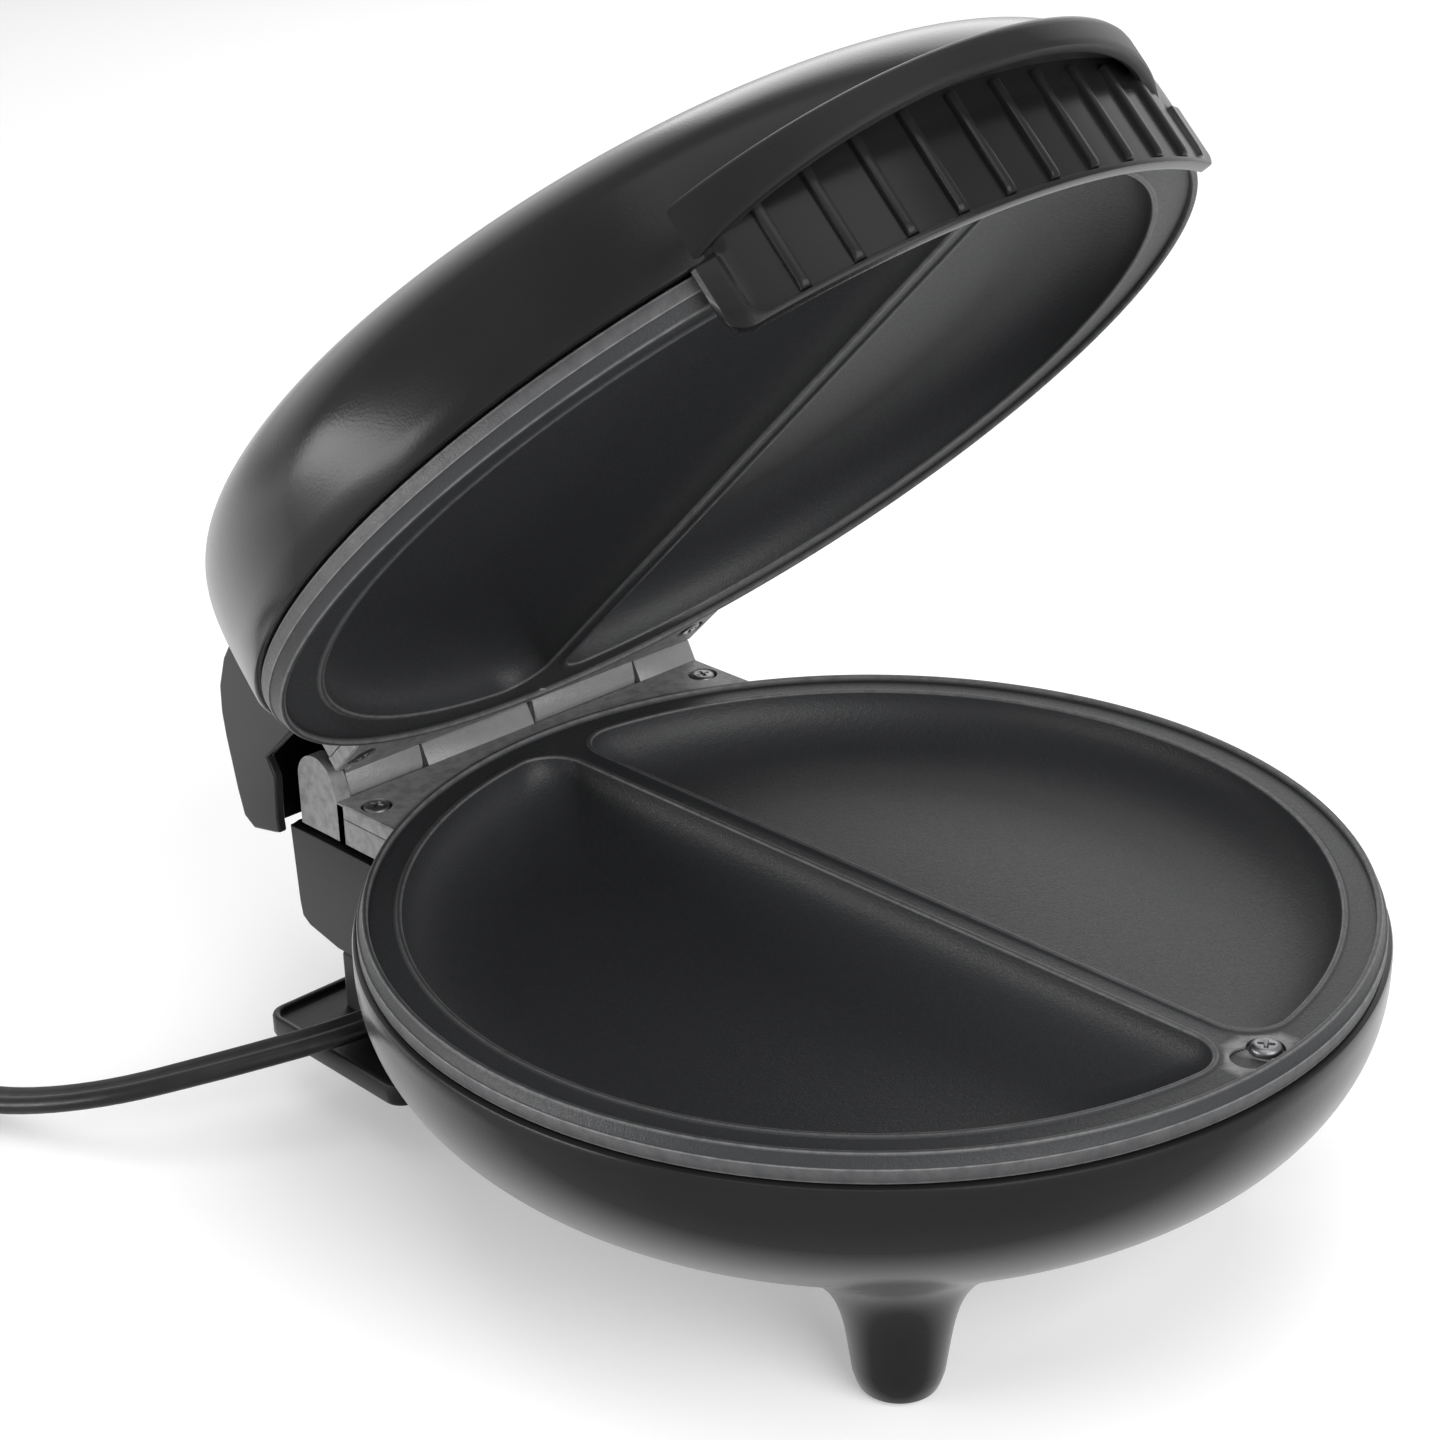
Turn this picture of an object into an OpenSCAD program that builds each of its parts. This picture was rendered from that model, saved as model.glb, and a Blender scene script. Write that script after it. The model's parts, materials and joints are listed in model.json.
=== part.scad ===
// Electric omelette maker: two hinged cooking plates, each with a pair of half-round pockets,
// in a bowl-shaped base and a domed lid that stands open. Millimetres, +Z up, and the surface
// it stands on is z = 0. Everything is drawn about the lower plate's axis, with the front facing
// -Y, and then moved forwards, so that the middle of the whole object is at x = y = 0.

/* [Stance] */
// Height of the plane where the closed plates meet, above the surface
parting_z = 66.5; // [64:0.5:70]
// Angle at which the lid stands open
open_angle = 45; // [0:5:60]

/* [Plates] */
// Outer radius of the lower plate at its lower edge
plate_r = 96.6; // [92:0.1:97]
// How much larger the upper plate is in radius
upper_grow = 1.9; // [1.6:0.1:2.2]
// Height of the raised rim above the plate's face
lip_h = 1.2; // [0.8:0.1:2]
// Width of the raised rim
lip_w = 1.3; // [1:0.1:2]
// Thickness of the plate's flange
flange_t = 4.1; // [3.5:0.1:4.6]
// Radius of the pockets' round side
pocket_r = 88; // [80:0.5:88.5]
// Width of the bar between the pockets
divider_w = 6.2; // [5.6:0.1:10]
// Depth of the pockets below the plate's face
pocket_depth = 12.5; // [10:0.5:15]
// How far a pocket's side runs inwards on its way down
pocket_run = 20; // [14:1:24]
// Radius of the pockets' corners
pocket_corner_r = 8; // [6:0.5:12]
// Wall of the casting under the pockets
casting_t = 2.8; // [2.4:0.1:3.2]
// Width of the narrow bead round each pocket
bead_w = 1.3; // [0.8:0.1:1.8]
// Height of that bead
bead_h = 0.4; // [0.2:0.1:0.8]

/* [Hinge] */
// Distance of the hinge line behind the plates' centre
hinge_y = 105; // [104.5:0.1:106]
// Height of the hinge line above the parting plane
hinge_z = 0.3; // [0:0.1:0.6]
// Radius of the hinge knuckles
barrel_r = 4.25; // [3.8:0.05:4.4]
// Radius of the hinge pin
pin_r = 1.5; // [1.2:0.1:2]
// Radial play between the pin and its bores
pin_play = 0.05; // [0.02:0.01:0.09]
// Width of the rear ledge that carries the knuckles
ledge_w = 100; // [96:0.5:101]
// Where the two middle knuckles meet
knuckle_mid = 3.2; // [-2:0.1:6]
// Width of each middle knuckle
knuckle_w = 29.7; // [24:0.1:31]
// Gap between knuckles
knuckle_gap = 1; // [0.6:0.1:1.4]
// Width of the ear at the hinge's left end
ear_w = 3.5; // [2.5:0.1:4.5]

/* [Base] */
// How far the base housing's edge stands out past the lower plate
base_out = 1.05; // [0.7:0.05:1.4]
// Wall of the housings
wall = 2.2; // [1.8:0.1:2.6]
// Depth of the bowl's round part
bowl_h = 45; // [42:0.5:48]
// Back of the rear block
block_y = 117.4; // [116:0.1:117.8]
// Top of the rear block below the parting plane
block_top = 11.5; // [11:0.1:13]
// Underside of the rear block below the parting plane
block_under = 35.8; // [34:0.1:37]

/* [Legs] */
// Distance of the legs from the middle, sideways
leg_x = 45; // [40:0.5:48]
// Distance of the front legs from the middle, forwards
leg_front = 50; // [46:0.5:54]
// Distance of the rear legs from the middle, backwards
leg_back = 42; // [38:0.5:44]
// Radius of a leg at its foot
foot_r = 7.8; // [7:0.1:9]
// Radius of a rubber pad
pad_r = 5; // [4:0.1:6]
// How far a rubber pad stands out of its leg
pad_out = 0.5; // [0.3:0.1:1]

/* [Rear stand] */
// Width of the tray
tray_w = 130; // [124:0.5:134]
// Front edge of the tray
tray_front = 66; // [64:0.5:70]
// Back edge of the tray
tray_back = 111; // [108:0.5:114]
// Height of the tray's floor above the surface
tray_z = 17.7; // [16.4:0.1:18]
// Height of the tray's edge above its floor
tray_edge = 1.4; // [1:0.1:1.8]

/* [Lid] */
// How far the lid's edge stands out past the upper plate
lid_out = 1.1; // [0.9:0.05:1.5]
// Height of the lid's crown above the closed parting plane
lid_h = 43.1; // [42.5:0.1:46]
// Angle at which the lid's dome leans forwards
lid_tilt = 2.75; // [1.5:0.25:3]
// Width of the rear cover
cover_w = 108; // [106.5:0.5:112]
// Back of the rear cover, with the lid closed
cover_y = 129.8; // [129.6:0.1:133]

/* [Handle] */
// Angle by which the handle sits off the front's middle
handle_turn = -5.5; // [-6:0.5:0]
// Half angle that the grip's wall spans
grip_half = 32.5; // [31:0.5:33]
// How far the grip's wall stands out past the lid's edge
grip_out = 2.2; // [2:0.1:2.4]
// How far the grip's wall hangs below the parting plane
grip_drop = 7.6; // [5:0.1:8.2]
// How far the hood stands out past the lid's edge
hood_out = 12.8; // [12:0.1:13.5]
// Half width of the hood
hood_half = 53.2; // [52.4:0.2:54]
// Top of the hood above the closed parting plane
hood_z = 16.6; // [16.2:0.1:18]
// Height of the arch above the parting plane, at its middle
arch_z = 10.5; // [9.5:0.1:11.5]
// Height of the arch at its ends
arch_end_z = 6.2; // [6:0.1:7.5]
// Half width of the arch
arch_half = 53.3; // [50.5:0.2:54.5]
// How far the grip's panel is sunk between its borders
panel_in = 0.7; // [0.4:0.1:1]
// Angle between two ribs of the grip
rib_pitch = 5.5; // [4.8:0.1:5.8]
// Number of ribs on the grip
ribs = 10; // [6:1:10]
// Width of a rib
rib_w = 2; // [1.4:0.1:2.4]

/* [Inside] */
// Radius of the heating element's ring
element_ring_r = 52; // [48:0.5:54]
// Radius of the heating element's sheath
element_r = 3.2; // [2.8:0.1:3.5]
// Radius of the heat shields
shield_r = 76; // [66:0.5:78]
// Distance of the lower heat shield from the parting plane
shield_z = 32; // [31:0.5:33]
// Distance of the upper heat shield from the parting plane
upper_shield_z = 27.5; // [26.5:0.5:28.5]
// Radius of the threads of the plate screws
screw_r = 1.7; // [1.5:0.05:1.9]
// Radius of the heads of the plate screws
head_r = 2.8; // [2.5:0.05:3.1]
// Radius of the indicator lenses
lens_r = 3.5; // [3:0.1:4]
// Distance of the indicator lenses from the middle, sideways
lens_x = 9; // [7:0.5:14]
// Distance of the indicator lenses from the middle, forwards
lens_y = 36; // [30:0.5:44]

/* [Cord] */
// Width of the flat cord
cord_w = 7.4; // [7:0.1:7.8]
// Thickness of the flat cord
cord_t = 3.8; // [3.4:0.1:4]
// Radius of the coil where the cord enters it
coil_r = 46; // [45:0.5:50]
// Turns in the coil
coil_turns = 2.5; // [2.5:0.5:3.5]
// Length of the plug's body
plug_l = 30; // [26:0.5:34]

/* [Hidden] */
$fn = 96;
e = 0.01;
gap = 0.3;
middle_y = 17.64;
// Heights below are measured from the parting plane, downwards positive in the base
flange_under = lip_h + flange_t;
base_r = plate_r + base_out;
lid_r = plate_r + upper_grow + lid_out;
grip_r = lid_r + grip_out;
hood_y = lid_r + hood_out;
base_edge = flange_under + gap;
lid_edge = flange_under + 0.4;
bowl_from = 9;
bowl_power = 2.2;
lid_power = 4.2;
lip_r = plate_r - 1.1;
land_z = lip_h;
ledge_top = 0.6;
ledge_t = 3.2;
ledge_y = 100;
skirt_z = 9.4;
skirt_t = 2.2;
ledge_front = 60;
pocket_steps = 6;
screw_x = ledge_w / 2 - 4.7;
screw_y = 93;
front_screw = [2.2, -(lip_r - 5.1)];
post_r = 3.4;
rear_seat = 1.3;
front_seat = 0.6;
rib_under = lip_h + pocket_depth + casting_t;
groove_z = rib_under + 3.6;
element_z = groove_z;
element_open = 16;
element_bend = 7;
element_tail = 14;
element_x = (element_ring_r + element_bend) * sin(element_open) - element_bend;
element_tip = (element_ring_r + element_bend) * cos(element_open) + element_tail + 8;
element_gap = (element_ring_r + element_bend) * sin(element_open) + 1;
shield_t = 0.6;
shield_posts = [[0, -30], [0, 30]];
knuckle_left = -ledge_w / 2 + ear_w + 0.5;
knuckles = [knuckle_left, knuckle_mid - knuckle_w, knuckle_mid, knuckle_mid + knuckle_w, ledge_w / 2];
leg_places = [[-leg_x, -leg_front], [leg_x, -leg_front], [-leg_x, leg_back], [leg_x, leg_back]];
foot_h = 22.5;
neck_front = 95;
neck_back = 103;
neck_half = ledge_w / 2;
stand_screw_x = 30;
stand_screw_y = 99;
tray_t = 3.4;
outlet_x = [-4, 24];
outlet_y = [60, 92];
outlet_z = [36, 47.2];
grip_point = [-4, 83, 25.4];
grip_l = 26;
cover_back_t = 2.4;
hood_r = 63.5;
hood_t = 3;
arch_power = 2.4;
rib_out = 0.5;
handle_screw_at = [handle_turn - 18, handle_turn + 18];
handle_screw_z = 12.5;
terminal_at = [8, 104, -26];
wire_r = 1.1;

// The cord's route from its grip to the coil, laid by hand
cord_route = [[-30, 83, 25.4], [-42, 83, 25], [-53, 84.5, 24.1], [-64, 88, 22.8], [-75, 93.5, 21.2],
    [-88, 101.5, 18.8], [-99, 112, 15], [-107, 124.5, 10.9], [-112.5, 138, 7.2], [-116, 152, 4.6],
    [-118, 166, 3.1], [-118.5, 180, 2.8]];
coil_at = [-118.5 - coil_r, 188];
coil_z = 2.8;
coil_step = cord_t + 0.9;
coil_pitch = cord_w + 1;
coil_tail = 20;

// A quarter of a rounded outline: radius r at the edge, height h, softened by its power
function dome(r, h, power, steps = 16) = [for (i = [0 : steps]) let (a = 90 * i / steps)
    [r * pow(max(cos(a), 0), 2 / power), h * pow(sin(a), 2 / power)]];

// Height of the lid's skin above the parting plane at the lenses, lid closed
lens_z = lid_edge + lookup(norm([lens_x, lens_y]), dome(lid_r, lid_h - lid_edge, lid_power)) * cos(lid_tilt)
    - lens_y * sin(lid_tilt);

// The half-round outline of a pocket on the +X side, with rounded corners
function half_round(r, g, c, big = 18, small = 7) = let (cx = g + c, cy = sqrt(pow(r - c, 2) - cx * cx),
    b = atan2(cy, cx)) concat(
    [for (i = [0 : big]) let (a = -b + 2 * b * i / big) [r * cos(a), r * sin(a)]],
    [for (i = [1 : small]) let (a = b + (180 - b) * i / small) [cx + c * cos(a), cy + c * sin(a)]],
    [for (i = [0 : small - 1]) let (a = 180 + (180 - b) * i / small) [cx + c * cos(a), -cy + c * sin(a)]]);

// Joins rings of points, all of one length, into a closed skin with flat ends
function skin_faces(rings, n) = concat(
    [[for (j = [n - 1 : -1 : 0]) j]],
    [for (i = [0 : rings - 2], j = [0 : n - 1]) let (k = (j + 1) % n) [i * n + j, i * n + k, (i + 1) * n + k]],
    [for (i = [0 : rings - 2], j = [0 : n - 1]) let (k = (j + 1) % n) [i * n + j, (i + 1) * n + k, (i + 1) * n + j]],
    [[for (j = [0 : n - 1]) (rings - 1) * n + j]]);

// A bowl under a half-round outline, carried on upwards past its mouth at z = 0 to top
module pocket_bowl(r, g, c, depth, run, top) {
    levels = [for (i = [1 : pocket_steps]) let (a = 90 * i / pocket_steps) [run * (1 - cos(a)), -depth * sin(a)]];
    stack = concat([[levels[0][0] * top / levels[0][1], top]], levels);
    outlines = [for (s = stack) [for (p = half_round(r - s[0], g + s[0], c)) [p[0], p[1], s[1]]]];
    polyhedron([for (o = outlines) each o], skin_faces(len(outlines), len(outlines[0])), convexity = 6);
}

module both_sides() {
    children();
    mirror([1, 0, 0]) children();
}

module centred() {
    translate([0, -middle_y, 0]) children();
}

module at_parting() {
    translate([0, 0, parting_z]) children();
}

// Everything of the lid is drawn closed and then swung open
module on_lid() {
    at_parting() translate([0, hinge_y, hinge_z]) rotate([-open_angle, 0, 0])
        translate([0, -hinge_y, -hinge_z]) children();
}

// A casting lying with its face up: grow adds to its radius, axis_z is the hinge line's height on it,
// and shield is how far below its face a heat shield hangs
module casting(grow, axis_z, barrels, ear, shield) {
    lip = lip_r + grow;
    outer = plate_r + grow;
    difference() {
        union() {
            rotate_extrude() polygon([[0, -flange_under], [outer, -flange_under], [outer - 0.2, -lip_h * 2.1],
                [outer - 0.5, -lip_h * 2], [lip + 0.1, -0.4], [lip - 0.2, 0], [lip - lip_w + 0.2, 0],
                [lip - lip_w, -land_z], [0, -land_z]]);
            both_sides() {
                translate([0, 0, -land_z]) pocket_bowl(pocket_r + casting_t, max(divider_w / 2 - casting_t, 0.2),
                    pocket_corner_r, pocket_depth + casting_t, pocket_run, -1);
                translate([0, 0, -land_z - e]) linear_extrude(bead_h)
                    polygon(half_round(pocket_r + bead_w, divider_w / 2 - bead_w, pocket_corner_r));
            }
            translate([0, 0, -groove_z]) difference() {
                cylinder(r = element_ring_r + element_r + 1.6, h = groove_z - flange_under);
                translate([0, 0, -e]) cylinder(r = element_ring_r - element_r - 1.6, h = groove_z);
            }
            for (p = shield_posts) translate([p[0], p[1], -shield + shield_t])
                cylinder(r = 4, h = shield - shield_t - flange_under + e, $fn = 32);
            ledge(axis_z, barrels, ear, lip - lip_w / 2);
        }
        both_sides() translate([0, 0, -land_z]) pocket_bowl(pocket_r, divider_w / 2, pocket_corner_r,
            pocket_depth, pocket_run, 3);
        translate([0, 0, -element_z]) rotate_extrude() translate([element_ring_r, 0])
            circle(r = element_r + 0.05, $fn = 32);
        both_sides() translate([screw_x, screw_y, -ledge_top - rear_seat]) screw_seat();
        translate([front_screw[0], front_screw[1], -land_z - front_seat]) screw_seat();
        translate([-front_screw[0], front_screw[1], -land_z - 0.4]) cylinder(r = head_r + 0.7, h = 3);
        for (p = shield_posts) translate([p[0], p[1], -shield]) cylinder(r = 1.3, h = 12, $fn = 32);
        translate([-ledge_w, hinge_y, axis_z]) rotate([0, 90, 0]) cylinder(r = pin_r + pin_play, h = ledge_w * 2);
        translate([-element_gap, element_ring_r - element_r - 3, -groove_z - 5])
            cube([2 * element_gap, 40, groove_z + 5 - rib_under]);
    }
}

// The counterbore and clearance hole of a plate screw
module screw_seat() {
    cylinder(r = head_r + 0.6, h = 4);
    translate([0, 0, -12]) cylinder(r = screw_r + 0.15, h = 13);
}

// The ledge behind a casting, with its skirts, knuckles and ear: it starts at the radius from
module ledge(axis_z, barrels, ear, from) {
    half = ledge_w / 2;
    skirt_end = ledge_y - 4;
    difference() {
        translate([-half, ledge_front, -skirt_z]) cube([ledge_w, ledge_y - ledge_front, skirt_z - ledge_top]);
        translate([-half + skirt_t, ledge_front - 1, -skirt_z - 1])
            cube([ledge_w - 2 * skirt_t, ledge_y, skirt_z + 1 - ledge_top - ledge_t]);
        translate([0, 0, -skirt_z - 1]) cylinder(r = from, h = skirt_z + 2);
        if (!ear) {
            both_sides() translate([half - skirt_t - 1, skirt_end, -skirt_z - 1])
                cube([skirt_t + 2, 20, skirt_z + 1 - ledge_top - ledge_t]);
            translate([-half - 1, skirt_end + 0.4, -skirt_z - 1]) cube([ear_w + gap + 1, 20, skirt_z + 2]);
        }
    }
    for (b = barrels) translate([b[0], 0, 0]) {
        translate([0, hinge_y, axis_z]) rotate([0, 90, 0]) cylinder(r = barrel_r, h = b[1] - b[0]);
        rotate([90, 0, 90]) linear_extrude(b[1] - b[0]) polygon([[ledge_y - 3, -ledge_top - ledge_t],
            [ledge_y - 3, -ledge_top], [ledge_y + 0.6, 0.2], [hinge_y - barrel_r * 0.6, axis_z + barrel_r * 0.75],
            [hinge_y + barrel_r * 0.5, axis_z - barrel_r * 0.8], [hinge_y, -ledge_top - ledge_t]]);
    }
    if (ear) translate([-half, 0, 0]) rotate([90, 0, 90]) linear_extrude(ear_w) ear_outline();
}

// The ear's outline, in the plane of the ledge's side
module ear_outline() {
    r = 6;
    difference() {
        union() {
            translate([hinge_y + 1.8, hinge_z + 1]) circle(r = r);
            translate([ledge_y - 2, -skirt_z]) square([hinge_y + 1.8 + r - ledge_y + 2, skirt_z + hinge_z + 1]);
        }
        translate([ledge_y - 5, -ledge_top]) square([5, 5]);
    }
}

module lower_plate() {
    k = knuckles;
    h = knuckle_gap / 2;
    color("#3b3d40") centred() at_parting()
        casting(0, hinge_z, [[k[1] + h, k[2] - h], [k[3] + h, k[4]]], true, shield_z);
}

module upper_plate() {
    k = knuckles;
    h = knuckle_gap / 2;
    color("#3b3d40") centred() on_lid() mirror([0, 0, 1])
        casting(upper_grow, -hinge_z, [[k[0], k[1] - h], [k[2] + h, k[3] - h]], false, upper_shield_z);
}

module bowl_solid(inset, top) {
    rotate_extrude() polygon(concat([[0, top], [base_r - inset, top]],
        [for (p = dome(base_r - inset, bowl_h - inset, bowl_power)) [p[0], -bowl_from - p[1]]]));
}

function block_outline() = [[70, -block_top], [block_y, -block_top], [block_y - 1, -block_under + 6.9],
    [block_y - 1.6, -block_under + 3.5], [block_y - 3.9, -block_under + 2], [neck_back + 1, -block_under],
    [70, -block_under]];

module block_solid(inset) {
    half = ledge_w / 2 - inset;
    translate([-half, 0, 0]) rotate([90, 0, 90]) linear_extrude(2 * half) offset(delta = -inset)
        polygon(block_outline());
}

module outlet_solid(inset) {
    translate([outlet_x[0] + inset, outlet_y[0], -outlet_z[1] + inset])
        cube([outlet_x[1] - outlet_x[0] - 2 * inset, outlet_y[1] - outlet_y[0] - inset,
            outlet_z[1] - outlet_z[0] - inset + 6]);
}

function leg_side() = [for (h = [2 : 4 : 34]) [foot_r + 0.14 * h + 7 * pow(min(h / foot_h, 1), 4), h]];

module leg() {
    rotate_extrude() polygon(concat([[0, pad_out], [foot_r - 2, pad_out], [foot_r - 0.6, pad_out + 0.6],
        [foot_r, 2]], leg_side(), [[0, 34]]));
}

module base_housing() {
    color("#1d1e20") centred() difference() {
        union() {
            at_parting() bowl_solid(0, -base_edge);
            at_parting() block_solid(0);
            at_parting() outlet_solid(0);
            for (p = leg_places) translate([p[0], p[1], 0]) leg();
        }
        difference() {
            at_parting() union() {
                bowl_solid(wall, 1);
                block_solid(wall);
                outlet_solid(wall);
            }
            at_parting() screw_posts(-1);
            at_parting() stand_bosses();
        }
        at_parting() translate([-ledge_w / 2 - gap, 60, -block_top]) cube([ledge_w + 2 * gap, 70, block_top + 2]);
        for (p = leg_places) translate([p[0], p[1], -1]) cylinder(r = pad_r + 0.05, h = 3.05);
        translate([grip_point[0], grip_point[1], grip_point[2]]) rotate([0, 90, 0])
            cylinder(r = 3.2, h = 20, center = true);
        at_parting() screw_bores(-1);
        at_parting() for (s = [-1, 1]) translate([s * stand_screw_x, stand_screw_y, -block_under - 1])
            cylinder(r = screw_r - 0.3, h = 10);
    }
    color("#1d1e20") centred() at_parting() difference() {
        intersection() {
            both_sides() translate([screw_x, screw_y, -block_top - e])
                cylinder(r = post_r, h = block_top + e - ledge_top - ledge_t);
            translate([-ledge_w / 2 + skirt_t + 0.2, 60, -block_top - 1])
                cube([ledge_w - 2 * skirt_t - 0.4, 60, block_top + 2]);
        }
        screw_bores(-1);
    }
}

// Posts inside a housing, in which the plate screws bite: side is -1 in the base and 1 in the lid
module screw_posts(side) {
    depth = side < 0 ? block_top + 10 : 34;
    both_sides() translate([screw_x, screw_y, side < 0 ? -depth : skirt_z])
        cylinder(r = post_r, h = depth);
    translate([front_screw[0], front_screw[1], side < 0 ? -28 : base_edge])
        cylinder(r = post_r + 0.4, h = side < 0 ? 28 - base_edge : 34);
}

module screw_bores(side) {
    both_sides() translate([screw_x, screw_y, side < 0 ? -18 : 0]) cylinder(r = screw_r - 0.3, h = 18);
    translate([front_screw[0], front_screw[1], side < 0 ? -20 : 0]) cylinder(r = screw_r - 0.3, h = 20);
}

module stand_bosses() {
    for (s = [-1, 1]) translate([s * stand_screw_x, stand_screw_y, -block_under]) cylinder(r = 3.6, h = 12);
}

module foot_pads() {
    color("#26262a") centred() for (p = leg_places) translate([p[0], p[1], 0]) cylinder(r = pad_r, h = 2);
}

module tray_outline(r) {
    hull() for (x = [-1, 1], y = [0, 1]) translate([x * (tray_w / 2 - 4),
        y == 0 ? tray_front + 4 : tray_back - 4]) circle(r = r, $fn = 32);
}

module rear_stand() {
    neck_top = parting_z - block_under;
    color("#161719") centred() difference() {
        union() {
            translate([0, 0, tray_z - tray_t]) linear_extrude(tray_t + tray_edge) tray_outline(4);
            translate([-neck_half, neck_front, tray_z - 1]) cube([2 * neck_half, neck_back - neck_front,
                neck_top - tray_z + 1]);
        }
        difference() {
            translate([0, 0, tray_z]) linear_extrude(tray_edge + 1) tray_outline(4 - 1.4);
            translate([-neck_half, neck_front, tray_z - 1]) cube([2 * neck_half, neck_back - neck_front, 20]);
        }
        translate([-neck_half + wall, neck_front + 1.6, tray_z - tray_t - 1])
            cube([2 * neck_half - 2 * wall, neck_back - neck_front - 3.2, neck_top - tray_z + tray_t + 1 - 2.6]);
        for (s = [-1, 1]) translate([s * stand_screw_x, stand_screw_y, neck_top - 6]) cylinder(r = screw_r + 0.15, h = 8);
    }
}

// A pan-head screw pointing up: its head's underside is at z = 0
module pan_screw(r, head, l, head_h = 1.8) {
    difference() {
        union() {
            translate([0, 0, -head_h]) cylinder(r1 = head * 0.86, r2 = head, h = head_h);
            translate([0, 0, -e]) cylinder(r = r, h = l);
        }
        for (a = [0, 90]) rotate([0, 0, a]) translate([0, 0, -head_h]) cube([head * 1.1, head * 0.22, 1.6],
            center = true);
    }
}

module stand_screws() {
    neck_top = parting_z - block_under;
    color("silver") centred() for (s = [-1, 1]) translate([s * stand_screw_x, stand_screw_y, neck_top - 2.6])
        pan_screw(screw_r - 0.35, 2.2, 9);
}

// The three screws that hold a casting, seen with its face up
module casting_screws() {
    both_sides() translate([screw_x, screw_y, -ledge_top - rear_seat]) mirror([0, 0, 1])
        pan_screw(screw_r - 0.35, head_r, 14, 1.5);
    translate([front_screw[0], front_screw[1], -land_z - front_seat]) mirror([0, 0, 1])
        pan_screw(screw_r - 0.35, head_r, 14, 1.5);
}

module lower_plate_screws() {
    color("silver") centred() at_parting() casting_screws();
}

module upper_plate_screws() {
    color("silver") centred() on_lid() mirror([0, 0, 1]) casting_screws();
}

// A sheathed element: most of a ring, whose two ends bend back and carry terminal pins
element_turn = element_ring_r + element_bend;
element_half = concat([[element_x, element_turn * cos(element_open) + element_tail, 0]],
    [for (i = [0 : 5]) let (a = 180 + (90 - element_open) * i / 5) [element_turn * sin(element_open)
        + element_bend * cos(a), element_turn * cos(element_open) + element_bend * sin(a), 0]],
    [for (i = [1 : 24]) let (a = element_open + (180 - element_open) * i / 24)
        [element_ring_r * sin(a), element_ring_r * cos(a), 0]]);

module element() {
    n = len(element_half);
    translate([0, 0, -element_z]) {
        sweep(concat(element_half, [for (i = [n - 2 : -1 : 0]) [-element_half[i][0], element_half[i][1], 0]]),
            [for (i = [0 : 11]) element_r * [cos(30 * i), sin(30 * i)]]);
        both_sides() translate(element_half[0] - [0, e, 0]) rotate([-90, 0, 0]) cylinder(r = 1.2, h = 8, $fn = 32);
    }
}

module lower_element() {
    color("#6f6a62") centred() at_parting() element();
}

module upper_element() {
    color("#6f6a62") centred() on_lid() mirror([0, 0, 1]) element();
}

module heat_shield(z) {
    translate([0, 0, -z]) difference() {
        union() {
            cylinder(r = shield_r, h = shield_t);
            translate([0, 0, -4]) difference() {
                cylinder(r = shield_r, h = 4 + e);
                translate([0, 0, -1]) cylinder(r = shield_r - shield_t, h = 8);
            }
        }
        for (p = shield_posts) translate([p[0], p[1], -1]) cylinder(r = 1.7, h = 4, $fn = 32);
        for (s = [-1, 1]) translate([s * 34, 44, -1]) cylinder(r = 6, h = 4);
    }
}

module shield_screws(z) {
    for (p = shield_posts) translate([p[0], p[1], -z]) pan_screw(1.2, 2.6, 9);
}

module lower_heat_shield() {
    color("#b9bbbd") centred() at_parting() heat_shield(shield_z);
}

module upper_heat_shield() {
    color("#b9bbbd") centred() on_lid() mirror([0, 0, 1]) heat_shield(upper_shield_z);
}

module lower_shield_screws() {
    color("silver") centred() at_parting() shield_screws(shield_z);
}

module upper_shield_screws() {
    color("silver") centred() on_lid() mirror([0, 0, 1]) shield_screws(upper_shield_z);
}

module thermostat() {
    color("#c9c2b0") centred() at_parting() translate([-28, 0, -rib_under - 0.1]) mirror([0, 0, 1]) {
        cylinder(r = 7, h = 3.2);
        cylinder(r = 5.6, h = 8);
        for (s = [-1, 1]) translate([0, s * 3, 8.5]) cube([0.8, 4, 3], center = true);
    }
}

module thermal_fuse() {
    color("#d8d4c8") centred() at_parting() translate([20, 0, -rib_under - 2.3]) rotate([0, 90, 0]) {
        cylinder(r = 2.1, h = 16, $fn = 32);
        translate([0, 0, -5]) cylinder(r = 0.6, h = 26, $fn = 24);
    }
}

module sensor_clips() {
    color("silver") centred() at_parting() {
        translate([28, 0, -rib_under]) mirror([0, 0, 1]) difference() {
            translate([-3, -7, 0]) cube([6, 14, 5.2]);
            translate([-4, -2.3, -1]) cube([8, 4.6, 5.7]);
            translate([-4, -8, 0.6]) cube([8, 5, 6]);
            translate([-4, 3, 0.6]) cube([8, 5, 6]);
        }
        translate([-28, 0, -rib_under]) mirror([0, 0, 1]) difference() {
            translate([-3, -13, 0]) cube([6, 26, 4.2]);
            translate([-4, -7.2, -1]) cube([8, 14.4, 4.4]);
            translate([-4, -14, 0.8]) cube([8, 6, 6]);
            translate([-4, 8, 0.8]) cube([8, 6, 6]);
            translate([0, 0, -1]) cylinder(r = 5.7, h = 8);
        }
    }
}

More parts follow.
